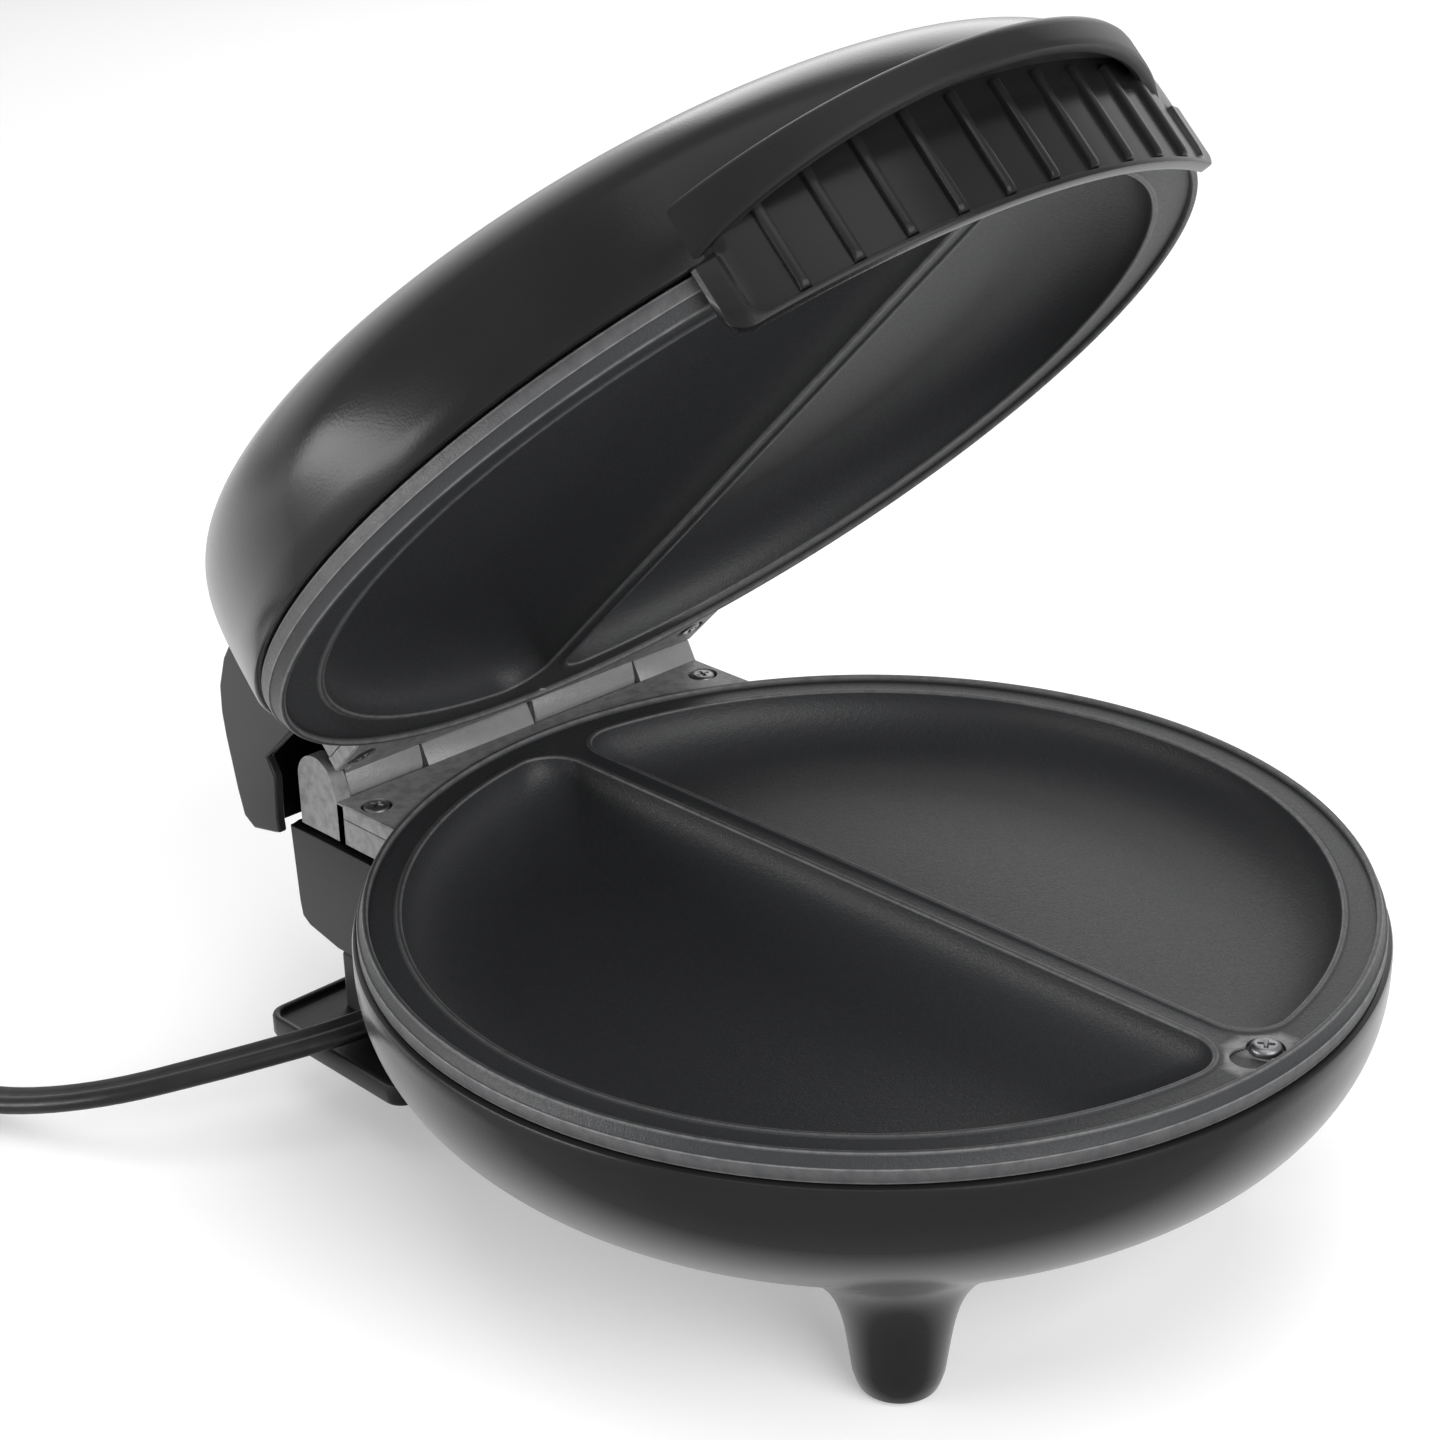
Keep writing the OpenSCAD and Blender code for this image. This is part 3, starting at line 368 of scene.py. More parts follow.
def coated_metal(name, colour, roughness, specular):
    """Cast aluminium under a fine-grained non-stick coating, paler along its edges: partly worn, partly
    painted highlight.
    """
    s = Surface(name, colour, roughness)
    s.set(specular=specular)
    grain = s.noise(2600, 2.0, 0.6)
    flecks = s.cells(1500)
    patches = s.noise(38, 3.0)
    s.tint(s.ramp(flecks, 0.02, 0.16, 0.55, 0.0), (0.085, 0.086, 0.088))
    s.tint(s.ramp(patches, 0.35, 0.7, 0.0, 0.3), (0.020, 0.0205, 0.022))
    # Paler along convex edges: partly worn coating, partly painted highlight
    s.tint(s.times(s.ramp(s.edges(), 0.08, 0.6, 0.0, 0.9), s.ramp(s.noise(420, 2.0), 0.3, 0.6, 0.6, 1.0)),
           (0.20, 0.20, 0.203))
    s.vary_roughness(grain, 0.3, 0.7, 0.09)
    s.bump(grain, 0.55, 0.00016)
    s.bump(s.noise(900, 3.0), 0.35, 0.0002)
    return s.material


def moulded(name, colour, roughness, grain, depth, coat=0.0):
    """Injection-moulded plastic with its fine tool texture, slight clouding and edges painted paler: painted
    highlight, partly worn.
    """
    s = Surface(name, colour, roughness)
    s.set(coat=coat, coat_roughness=0.18)
    s.gloss_towards_edge(0.1, 1.0)
    fine = s.noise(grain, 2.0, 0.5)
    cloud = s.noise(24, 4.0)
    lighter = tuple(min(1.0, c * 1.6 + 0.002) for c in colour)
    s.tint(s.ramp(cloud, 0.35, 0.75, 0.0, 0.5), lighter)
    # Paler along convex edges: painted highlight, partly worn plastic
    s.tint(s.ramp(s.edges(), 0.15, 0.9, 0.0, 0.5), tuple(min(1.0, c * 2.0 + 0.006) for c in colour))
    s.vary_roughness(cloud, 0.3, 0.7, 0.035)
    s.bump(fine, depth, 0.00008)
    return s.material


def bare_metal(name, colour, roughness, stretch=(1, 1, 14), scale=900, spread=0.08):
    """Drawn or turned metal with fine marks along one way."""
    s = Surface(name, colour, roughness, 1.0)
    marks = s.noise(scale, 3.0, 0.6, stretch)
    s.tint(s.ramp(marks, 0.35, 0.7, 0.0, 0.55), tuple(c * 0.62 for c in colour))
    s.tint(s.ramp(s.noise(60, 3.0), 0.5, 0.8, 0.0, 0.4), tuple(c * 0.75 for c in colour))
    s.vary_roughness(marks, 0.3, 0.7, spread)
    s.bump(marks, 0.25, 0.00006)
    return s.material


def sheath():
    """The cord's soft sheath, faintly mottled and with a fine grain."""
    s = Surface("cord_sheath", finish().sheath, 0.36)
    s.set(specular=0.2)
    s.tint(s.ramp(s.noise(90, 4.0), 0.4, 0.75, 0.0, 0.6), (0.02, 0.02, 0.021))
    s.vary_roughness(s.noise(300, 3.0), 0.3, 0.7, 0.07)
    s.bump(s.noise(1400, 2.0), 0.4, 0.00008)
    return s.material


def glass_sleeve():
    """Woven glass sleeving of the inner wires."""
    s = Surface("glass_sleeve", (0.66, 0.63, 0.55), 0.8)
    weave = s.cells(1600)
    s.tint(s.ramp(weave, 0.1, 0.6, 0.7, 0.0), (0.38, 0.36, 0.31))
    s.bump(weave, 0.7, 0.0002)
    return s.material


def lens():
    """Tinted clear plastic of the indicator lights."""
    s = Surface("indicator_lens", (0.42, 0.015, 0.01), 0.12)
    s.set(transmission=0.35, ior=1.49, coat=0.6)
    s.tint(s.ramp(s.cells(700), 0.1, 0.5, 0.0, 0.35), (0.6, 0.05, 0.03))
    s.bump(s.cells(700), 0.5, 0.0002)
    return s.material


MATERIALS = {}


def material(name):
    """The named material, made when it is first asked for."""
    if name in MATERIALS:
        return MATERIALS[name]
    f = finish()
    makers = {
        "coating": lambda: coated_metal("non_stick_coating", f.coating, 0.45, 0.22),
        # A paler, glossier copy of the coating for the knuckles: painted highlight
        "knuckle_highlight": lambda: coated_metal("rubbed_coating", (0.17, 0.17, 0.173), 0.38, 0.5),
        "housing": lambda: moulded("housing_plastic", f.housing, f.gloss, 1900, 0.30, 0.05),
        "matte": lambda: moulded("matte_plastic", f.matte, 0.46, 2400, 0.55),
        "grip": lambda: moulded("grip_plastic", f.housing, 0.24, 1500, 0.2, 0.08),
        "rubber": lambda: moulded("foot_rubber", (0.020, 0.020, 0.022), 0.75, 1200, 0.8),
        "plug": lambda: moulded("plug_plastic", f.sheath, 0.42, 1700, 0.5),
        "tie": lambda: moulded("tie_plastic", (0.62, 0.62, 0.61), 0.45, 900, 0.4),
        "ceramic": lambda: moulded("terminal_plastic", (0.62, 0.58, 0.50), 0.5, 900, 0.5),
        "lamp": lambda: moulded("lamp_body", (0.66, 0.50, 0.40), 0.25, 700, 0.2, 0.5),
        "screw": lambda: bare_metal("plated_screw", (0.17, 0.17, 0.175), 0.38, (1, 1, 1), 700),
        "pin": lambda: bare_metal("hinge_steel", (0.45, 0.45, 0.46), 0.32, (14, 1, 1)),
        "sheet": lambda: bare_metal("rolled_sheet", (0.66, 0.67, 0.68), 0.3, (1, 12, 1), 400),
        "element": lambda: bare_metal("heated_sheath", (0.23, 0.19, 0.15), 0.5, (1, 1, 1), 260),
        "brass": lambda: bare_metal("plated_brass", (0.62, 0.52, 0.30), 0.28, (1, 12, 1), 500),
        "sleeve": glass_sleeve,
        "sheath": sheath,
        "lens": lens,
    }
    MATERIALS[name] = makers[name]()
    return MATERIALS[name]


# Mesh tools


class Shell:
    """Points and faces in millimetres, gathered part by part before they become one mesh."""

    def __init__(self):
        self.points = []
        self.faces = []
        self.marks = []

    def add(self, points, faces, mark=0):
        """Adds points and faces, with the place of their finish in the list of finishes."""
        start = len(self.points)
        self.points += [tuple(p) for p in points]
        self.faces += [tuple(start + i for i in f) for f in faces]
        self.marks += [mark] * len(faces)

    def loft(self, rings, closed=True, capped=False, mark=0):
        """Skins a row of rings. Seen from outside a ring runs clockwise when the next lies behind it."""
        n = len(rings[0])
        points = [p for ring in rings for p in ring]
        faces = []
        for i in range(len(rings) - 1):
            for j in range(n if closed else n - 1):
                k = (j + 1) % n
                faces.append((i * n + j, i * n + k, (i + 1) * n + k, (i + 1) * n + j))
        if capped:
            faces.append(tuple(range(n - 1, -1, -1)))
            faces.append(tuple((len(rings) - 1) * n + j for j in range(n)))
        self.add(points, faces, mark)

    def lathe(self, profile):
        """Turns (radius, height) pairs about the Z axis, the profile counter-clockwise seen in its plane."""
        rings = []
        for x, y in circle(0, 0, 1, ROUND_STEPS):
            rings.append([(r * x, r * y, z) for r, z in profile])
        self.loft((rings + rings[:1])[::-1], closed=False)

    def fill(self, outer, holes, z, up=True):
        """A flat face at height z inside one outline and outside the others."""
        loops = [outer] + list(holes)
        flat = [Vector(p[:2]) for loop in loops for p in loop]
        edges, start = [], 0
        for loop in loops:
            edges += [(start + i, start + (i + 1) % len(loop)) for i in range(len(loop))]
            start += len(loop)
        points, _, triangles, *_ = delaunay_2d_cdt(flat, edges, [], 0, 1e-6)
        centres = np.array([[sum(points[i][axis] for i in t) / 3 for axis in (0, 1)] for t in triangles])
        keep = inside(outer, centres)
        for hole in holes:
            keep &= ~inside(hole, centres)
        faces = [tuple(t) if up else tuple(reversed(t)) for t, k in zip(triangles, keep) if k]
        self.add([(p.x, p.y, z) for p in points], faces)

    def extrude(self, outline, x0, x1):
        """A (y, z) outline, counter-clockwise seen from +X, drawn along X."""
        self.loft([[(x, y, z) for y, z in outline] for x in (x1, x0)], capped=True)
        made = len(outline) + 2
        self.faces[-made:] = [face[::-1] for face in self.faces[-made:]]

    def move(self, matrix):
        """Moves all the points, and turns the faces where the move mirrors them."""
        turned = matrix.to_3x3().determinant() < 0
        self.points = [tuple(matrix @ Vector(p)) for p in self.points]
        if turned:
            self.faces = [f[::-1] for f in self.faces]
        return self

    def join(self, other):
        """Takes in another shell."""
        self.add(other.points, other.faces)
        self.marks[-len(other.faces):] = other.marks
        return self

    def piece(self, name, body, finish_names, slot, nodes=(), angle=32, bevel=None):
        """Makes the mesh object, in metres, riding on its body and standing for its nodes."""
        mesh = bpy.data.meshes.new(name)
        mesh.from_pydata([in_frame(p) for p in self.points], [], self.faces)
        weld(mesh)
        mesh.polygons.foreach_set("use_smooth", [True] * len(mesh.polygons))
        mesh.set_sharp_from_angle(angle=math.radians(angle))
        store_edge_wear_and_highlight(mesh)
        made = bpy.data.objects.new(name, mesh)
        bpy.context.scene.collection.objects.link(made)
        names = finish_names if isinstance(finish_names, (list, tuple)) else [finish_names]
        for item in names:
            mesh.materials.append(material(item))
        if len(names) > 1 and len(mesh.polygons) == len(self.marks):
            mesh.polygons.foreach_set("material_index", self.marks)
        if bevel:
            rounding = made.modifiers.new("rounded edges", "BEVEL")
            rounding.width = bevel * MM
            rounding.segments = 3
            rounding.limit_method = "ANGLE"
            rounding.angle_limit = math.radians(38)
            rounding.harden_normals = True
        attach(made, body)
        if nodes:
            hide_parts(*nodes)
        return made


def in_frame(point):
    """A point in millimetres about the plates' axis, as metres in the frame."""
    x, y, z = (float(c) for c in point)
    return (x * MM, (y - MIDDLE_Y) * MM, z * MM)


def weld(mesh):
    """Joins points that lie on one another, and drops faces that this leaves without area."""
    soft = bmesh.new()
    soft.from_mesh(mesh)
    bmesh.ops.remove_doubles(soft, verts=soft.verts, dist=2e-6)
    bmesh.ops.dissolve_degenerate(soft, dist=1e-7, edges=soft.edges)
    soft.to_mesh(mesh)
    soft.free()


def store_edge_wear_and_highlight(mesh):
    """Stores how sharply each point stands out, for the finishes that are paler along their edges: partly
    worn, partly painted highlight.
    """
    count = len(mesh.vertices)
    normals = np.zeros(len(mesh.polygons) * 3)
    mesh.polygons.foreach_get("normal", normals)
    normals = normals.reshape(-1, 3)
    centres = np.zeros(len(mesh.polygons) * 3)
    mesh.polygons.foreach_get("center", centres)
    centres = centres.reshape(-1, 3)
    pairs = {}
    for p in mesh.polygons:
        for key in p.edge_keys:
            pairs.setdefault(key, []).append(p.index)
    wear_and_highlight = np.zeros(count)
    for (a, b), sides in pairs.items():
        if len(sides) != 2:
            continue
        p, q = sides
        turn = math.acos(max(-1.0, min(1.0, float(normals[p] @ normals[q]))))
        if turn < 0.12 or (centres[q] - centres[p]) @ normals[p] > 0:
            continue
        wear_and_highlight[a] = max(wear_and_highlight[a], turn / 1.57)
        wear_and_highlight[b] = max(wear_and_highlight[b], turn / 1.57)
    # How sharply each point stands out, which the finishes paint paler: partly worn, partly painted highlight
    layer = mesh.attributes.new("edge_wear", "FLOAT", "POINT")
    layer.data.foreach_set("value", np.clip(wear_and_highlight, 0, 1).astype(np.float32))


def inside(loop, centres):
    """Which of the points lie inside the loop."""
    ring = np.array([p[:2] for p in loop])
    a, b = ring, np.roll(ring, -1, 0)
    x, y = centres[:, :1], centres[:, 1:2]
    crosses = (a[:, 1] > y) != (b[:, 1] > y)
    slope = (b[:, 0] - a[:, 0]) / np.where(b[:, 1] == a[:, 1], 1e-12, b[:, 1] - a[:, 1])
    return (crosses & (x < a[:, 0] + slope * (y - a[:, 1]))).sum(1) % 2 == 1


def around(x, y, r, start, end, steps):
    """Points along an arc from one angle to another, in radians, with both ends."""
    angles = [start + (end - start) * i / steps for i in range(steps + 1)]
    return [(x + r * math.cos(a), y + r * math.sin(a)) for a in angles]


def arc(x, y, r, start, end, steps):
    """The same, with its angles in degrees."""
    return around(x, y, r, math.radians(start), math.radians(end), steps)


def circle(x, y, r, steps):
    """Points round a full circle."""
    return around(x, y, r, 0, 2 * math.pi, steps)[:-1]


def at(loop, z):
    """A flat outline, raised to a height."""
    return [(x, y, z) for x, y in loop]


def smooth_path(points, between):
    """A rounded line through all the points, with so many steps from one to the next."""
    p = [np.array(q, float) for q in points]
    p = [2 * p[0] - p[1]] + p + [2 * p[-1] - p[-2]]
    out = []
    for i in range(1, len(p) - 2):
        for k in range(between):
            t = k / between
            out.append(0.5 * (2 * p[i] + (p[i + 1] - p[i - 1]) * t
                              + (2 * p[i - 1] - 5 * p[i] + 4 * p[i + 1] - p[i + 2]) * t * t
                              + (3 * p[i] - p[i - 1] - 3 * p[i + 1] + p[i + 2]) * t ** 3))
    return out + [p[-2]]


def swept(path, section):
    """Rings of a level section along a path."""
    rings = []
    for i, at_point in enumerate(path):
        along = np.array(path[min(i + 1, len(path) - 1)]) - np.array(path[max(i - 1, 0)])
        along = along / np.linalg.norm(along)
        side = np.cross(along, (0, 0, 1))
        side = side / np.linalg.norm(side)
        up = np.cross(side, along)
        rings.append([tuple(np.array(at_point) + side * s + up * u) for s, u in section])
    return rings


def to_parting():
    """From the base's drawing, with the parting plane at zero, to its place above the surface."""
    return Matrix.Translation((0, 0, PARTING))


def to_lid():
    """From the closed lid's place, with the parting plane at zero, to where it stands open."""
    pivot = Vector((0, HINGE_Y, HINGE_Z))
    return (to_parting() @ Matrix.Translation(pivot) @ Matrix.Rotation(-math.radians(OPEN_ANGLE), 4, "X")
            @ Matrix.Translation(-pivot))


def face_down():
    """Turns a casting drawn with its face up over, as the lid holds it."""
    return Matrix.Scale(-1, 4, (0, 0, 1))


def dome(r, h, power, steps):
    """(radius, height) from the edge of a rounded bowl to its middle."""
    out = []
    for i in range(steps + 1):
        a = math.pi / 2 * i / steps
        out.append((r * max(math.cos(a), 0) ** (2 / power), h * math.sin(a) ** (2 / power)))
    out[-1] = (0.0, h)
    return out


# Plates


def half_round(spread, corner=None, big=112, small=14):
    """The outline of the right-hand pocket, moved outwards by spread."""
    r, g = POCKET_R + spread, DIVIDER_W / 2 - spread
    c = POCKET_CORNER + spread if corner is None else corner
    cx = g + c
    cy = math.sqrt((r - c) ** 2 - cx * cx)
    b = math.atan2(cy, cx)
    return (around(0, 0, r, -b, b, big) + around(cx, cy, c, b, math.pi, small)[1:]
            + around(cx, -cy, c, math.pi, 2 * math.pi - b, small)[:-1])


def hollow(run, deep, steps):
    """(outwards, up) down the wall of a pocket, from its mouth to its floor."""
    return [(run * (math.cos(a) - 1), -deep * math.sin(a))
            for a in (math.pi / 2 * i / steps for i in range(steps + 1))]


def mirror_loop(loop):
    """The same outline on the left-hand side."""
    return [(-x, y) for x, y in reversed(loop)]


def casting(grow, axis_z, knuckles, ear):
    """A cooking plate lying with its face up, its parting plane at zero."""
    s = Shell()
    tall, wide = shape().bead_height, shape().bead_width
    lip, outer = LIP_R + grow, PLATE_R + grow
    bead = [(wide + 0.45, 0.0), (wide + 0.12, 0.08), (wide - 0.12, tall * 0.72), (wide - 0.3, tall * 0.95),
            (wide * 0.5, tall), (0.34, tall * 0.95), (0.14, tall * 0.7), (0.03, tall * 0.25), (0.0, -0.25)]
    bowl = hollow(POCKET_RUN, POCKET_DEPTH, 14)[1:]
    rings = [at(half_round(d), LAND_Z + z) for d, z in bead]
    rings += [at(half_round(d, POCKET_CORNER), LAND_Z + z) for d, z in bowl]
    under = [(CASTING_T + d, z) for d, z in hollow(POCKET_RUN, POCKET_DEPTH + CASTING_T, 8)[2:]]
    below = [at(half_round(d, POCKET_CORNER), LAND_Z + z) for d, z in under]
    for side in (1, -1):
        turn = (lambda ring: ring) if side > 0 else (lambda ring: [(-x, y, z) for x, y, z in reversed(ring)])
        s.loft([turn(r) for r in rings])
        s.fill(turn(rings[-1]), [], LAND_Z - POCKET_DEPTH)
        skin = [turn(at(half_round(under[0][0], POCKET_CORNER), FLANGE_Z))] + [turn(r) for r in below]
        s.loft([r[::-1] for r in skin])
        s.fill(skin[-1], [], below[-1][0][2], up=False)
    x, y = FRONT_SCREW
    seat = two_circles((x, y, SEAT_R), (-x, y, SEAT_R + 0.1))
    s.loft([at(seat, LAND_Z), at(seat, LAND_Z - FRONT_SEAT)])
    s.fill(seat, [], LAND_Z - FRONT_SEAT)
    mouth = half_round(bead[0][0])
    land_edge = circle(0, 0, lip - LIP_W, ROUND_STEPS)
    s.fill(land_edge, [mouth, mirror_loop(mouth), seat], LAND_Z)
    inner = lip - LIP_W
    rim = [(inner, LAND_Z), (inner + 0.12, -0.25), (inner + 0.35, -0.04), (inner + 0.55, 0.0),
           (lip - 0.5, 0.0), (lip - 0.22, -0.06), (lip - 0.04, -0.28), (lip + 0.08, -0.6), (lip + 0.5, -2.15),
           (lip + 0.68, -2.42), (lip + 0.95, -2.5), (outer - 0.06, -2.72), (outer - 0.02, -4.7),
           (outer - 0.12, -5.1), (outer - 0.4, FLANGE_Z)]
    s.lathe(rim[::-1])
    skin = half_round(under[0][0], POCKET_CORNER)
    s.fill(circle(0, 0, outer - 0.4, ROUND_STEPS), [skin, mirror_loop(skin)], FLANGE_Z, up=False)
    ledge(s, lip, axis_z, knuckles, ear)
    return s


def two_circles(a, b, steps=40):
    """The outline round two circles that overlap, counter-clockwise."""
    (ax, ay, ar), (bx, by, br) = a, b
    gap = ax - bx
    along = (gap * gap + ar * ar - br * br) / (2 * gap)
    high = math.sqrt(ar * ar - along * along)
    start_a = math.atan2(-high, -along)
    start_b = math.atan2(high, gap - along)
    return (around(ax, ay, ar, start_a, math.atan2(high, -along), steps)[:-1]
            + around(bx, by, br, start_b, 2 * math.pi - start_b, steps)[:-1])


def ledge(s, lip, axis_z, knuckles, ear):
    """The plate's rear ledge with its screw seats, skirts, knuckles and ear."""
    inner = lip - 0.4
    half = LEDGE_HALF
    edge = math.asin(half / inner)
    front = [(inner * math.sin(edge - 2 * edge * i / 48), inner * math.cos(edge - 2 * edge * i / 48))
             for i in range(49)]
    notch = [(-half, LEDGE_Y - 3.6), (-half + 3.8, LEDGE_Y - 3.6), (-half + 3.8, LEDGE_Y)]
    if ear:
        notch = [(-half, LEDGE_Y)]
    plan = front + notch + [(half, LEDGE_Y)]
    seats = [circle(x, y, SEAT_R - 0.1, 48) for x, y in SCREWS]
    r = 0.35
    top = [(x + (r if x < -half + 0.01 else -r if x > half - 0.01 else 0), y) for x, y in plan]
    s.fill(top[::-1], seats, LEDGE_TOP)
    s.loft([at(top[::-1], LEDGE_TOP), at(plan[::-1], LEDGE_TOP - r), at(plan[::-1], LEDGE_UNDER)][::-1])
    s.fill(plan[::-1], seats, LEDGE_UNDER, up=False)
    for seat in seats:
        s.loft([at(seat, LEDGE_TOP), at(seat, LEDGE_TOP - REAR_SEAT)])
        s.fill(seat, [], LEDGE_TOP - REAR_SEAT)
        s.loft([at(seat, LEDGE_UNDER), at(seat, LEDGE_UNDER + 0.1)][::-1])
        s.fill(seat, [], LEDGE_UNDER + 0.1, up=False)
    back = LEDGE_Y if ear else LEDGE_Y - 4
    start = math.sqrt(inner * inner - half * half)
    for x0 in (-half, half - SKIRT_T):
        s.extrude([(start, LEDGE_UNDER + 0.2), (start, SKIRT_Z), (back, SKIRT_Z), (back, LEDGE_UNDER + 0.2)],
                  x0, x0 + SKIRT_T)
    for x0, x1 in knuckles:
        knuckle(s, x0, x1, axis_z)
    if ear:
        cy, cz, r = HINGE_Y + 1.8, HINGE_Z + 1, 6
        outline = [(LEDGE_Y - 2, SKIRT_Z), (cy + r, SKIRT_Z)] + arc(cy, cz, r, 0, 168, 28)
        outline += [(LEDGE_Y + 0.05, LEDGE_TOP - 0.01), (LEDGE_Y - 2, LEDGE_TOP - 0.01)]
        s.extrude(outline, -half, KNUCKLES[0] - 0.5)


def knuckle(s, x0, x1, axis_z):
    """One knuckle, with its web to the ledge and its ends slightly chamfered."""
    r = BARREL_R

    def outline(inset):
        """The knuckle's section, drawn in by an inset."""
        top = 132 if axis_z > 0 else 138
        ring = arc(HINGE_Y, axis_z, r - inset, -98, top, 30)
        return ring + [(LEDGE_Y + 0.6, 0.25 - inset), (LEDGE_Y + 0.1, LEDGE_TOP - inset),
                       (LEDGE_Y - 4, LEDGE_TOP - 0.05 - inset), (LEDGE_Y - 4, LEDGE_UNDER + inset)]

    rings = [[(x, y, z) for y, z in outline(i)] for x, i in
             ((x0, 0.3), (x0 + 0.3, 0.0), (x1 - 0.3, 0.0), (x1, 0.3))]
    # The knuckle takes the paler coating, a painted highlight
    s.loft(rings, capped=True, mark=KNUCKLE_HIGHLIGHT)


# Operators


def seen_directly(tree, rays):
    """One for rays from the camera, from a glossy surface or through clear material, else zero."""
    first = tree.nodes.new("ShaderNodeMath")
    second = tree.nodes.new("ShaderNodeMath")
    for node in (first, second):
        node.operation = "MAXIMUM"
    tree.links.new(rays.outputs["Is Camera Ray"], first.inputs[0])
    tree.links.new(rays.outputs["Is Glossy Ray"], first.inputs[1])
    tree.links.new(first.outputs[0], second.inputs[0])
    tree.links.new(rays.outputs["Is Transmission Ray"], second.inputs[1])
    return second.outputs[0]


class OMELETTE_OT_stage(Operator):
    """Sets the camera, the lamps, the world and the pale floor"""

    bl_idname = "omelette.stage"
    bl_label = "Stage"

    def execute(self, context):
        azimuth, elevation, roll = (math.radians(v) for v in CAMERA_TURN)
        back = Vector((math.sin(azimuth) * math.cos(elevation), -math.cos(azimuth) * math.cos(elevation),
                       math.sin(elevation)))
        right = Vector((math.cos(azimuth), math.sin(azimuth), 0))
        up = back.cross(right)
        across = right * math.cos(roll) + up * math.sin(roll)
        upward = -right * math.sin(roll) + up * math.cos(roll)
        place = Vector((0, -MIDDLE_Y, PARTING)) + back * CAMERA_AWAY
        place += upward * CAMERA_UP - across * CAMERA_ASIDE
        data = bpy.data.cameras.new("camera")
        data.sensor_width = SENSOR_W
        data.lens = SENSOR_W * FOCAL_PIXELS / PICTURE_PIXELS
        data.clip_start = 0.02
        data.clip_end = 30
        camera = bpy.data.objects.new("camera", data)
        turn = Matrix((across, upward, back)).transposed().to_4x4()
        camera.matrix_world = Matrix.Translation(place * MM) @ turn
        context.scene.collection.objects.link(camera)
        context.scene.camera = camera
        context.scene.view_settings.view_transform = "Standard"
        self.world(context)
        self.floor(context)
        for name, size in LAMPS.items():
            self.lamp(name, getattr(context.scene.omelette_stage, name), *size)
        return {"FINISHED"}

    def world(self, context):
        """White where it is seen, dimmer where it only lights the scene."""
        world = bpy.data.worlds.new("studio")
        context.scene.world = world
        world.use_nodes = True
        tree = world.node_tree
        tree.nodes.clear()
        out = tree.nodes.new("ShaderNodeOutputWorld")
        mix = tree.nodes.new("ShaderNodeMixShader")
        rays = tree.nodes.new("ShaderNodeLightPath")
        seen = tree.nodes.new("ShaderNodeBackground")
        lit = tree.nodes.new("ShaderNodeBackground")
        seen.inputs["Strength"].default_value = 1.0
        seen.inputs["Color"].default_value = (1, 1, 1, 1)
        lit.inputs["Color"].default_value = (1, 1, 1, 1)
        lit.inputs["Strength"].default_value = WORLD_LIGHT
        tree.links.new(seen_directly(tree, rays), mix.inputs[0])
        tree.links.new(lit.outputs[0], mix.inputs[1])
        tree.links.new(seen.outputs[0], mix.inputs[2])
        tree.links.new(mix.outputs[0], out.inputs["Surface"])

    def floor(self, context):
        """A pale matte floor that glows a little where it is seen."""
        mesh = bpy.data.meshes.new("floor")
        mesh.from_pydata([(-6, -6, 0), (6, -6, 0), (6, 6, 0), (-6, 6, 0)], [], [(0, 1, 2, 3)])
        made = bpy.data.objects.new("floor", mesh)
        context.scene.collection.objects.link(made)
        paint = bpy.data.materials.new("floor_paint")
        paint.use_nodes = True
        tree = paint.node_tree
        shader = tree.nodes["Principled BSDF"]
        shader.inputs["Base Color"].default_value = (FLOOR_COLOUR, FLOOR_COLOUR, FLOOR_COLOUR, 1)
        shader.inputs["Roughness"].default_value = 0.9
        shader.inputs["Specular IOR Level"].default_value = 0.1
        glow = tree.nodes.new("ShaderNodeEmission")
        glow.inputs["Color"].default_value = (1, 1, 1, 1)
        rays = tree.nodes.new("ShaderNodeLightPath")
        share = tree.nodes.new("ShaderNodeMath")
        share.operation = "MULTIPLY"
        share.inputs[1].default_value = FLOOR_GLOW
        both = tree.nodes.new("ShaderNodeAddShader")
        tree.links.new(seen_directly(tree, rays), share.inputs[0])
        tree.links.new(share.outputs[0], glow.inputs["Strength"])
        tree.links.new(shader.outputs[0], both.inputs[0])
        tree.links.new(glow.outputs[0], both.inputs[1])
        tree.links.new(both.outputs[0], tree.nodes["Material Output"].inputs["Surface"])
        mesh.materials.append(paint)

    def lamp(self, name, power, wide, high, place, aim_height):
        """A rectangular lamp, aimed above the origin."""
        data = bpy.data.lights.new(name, "AREA")
        data.shape = "RECTANGLE"
        data.size = wide
        data.size_y = high
        data.energy = power
        made = bpy.data.objects.new(name, data)
        made.location = place
        made.rotation_euler = (Vector(place) - Vector((0, 0, aim_height))).to_track_quat("Z", "Y").to_euler()
        bpy.context.scene.collection.objects.link(made)


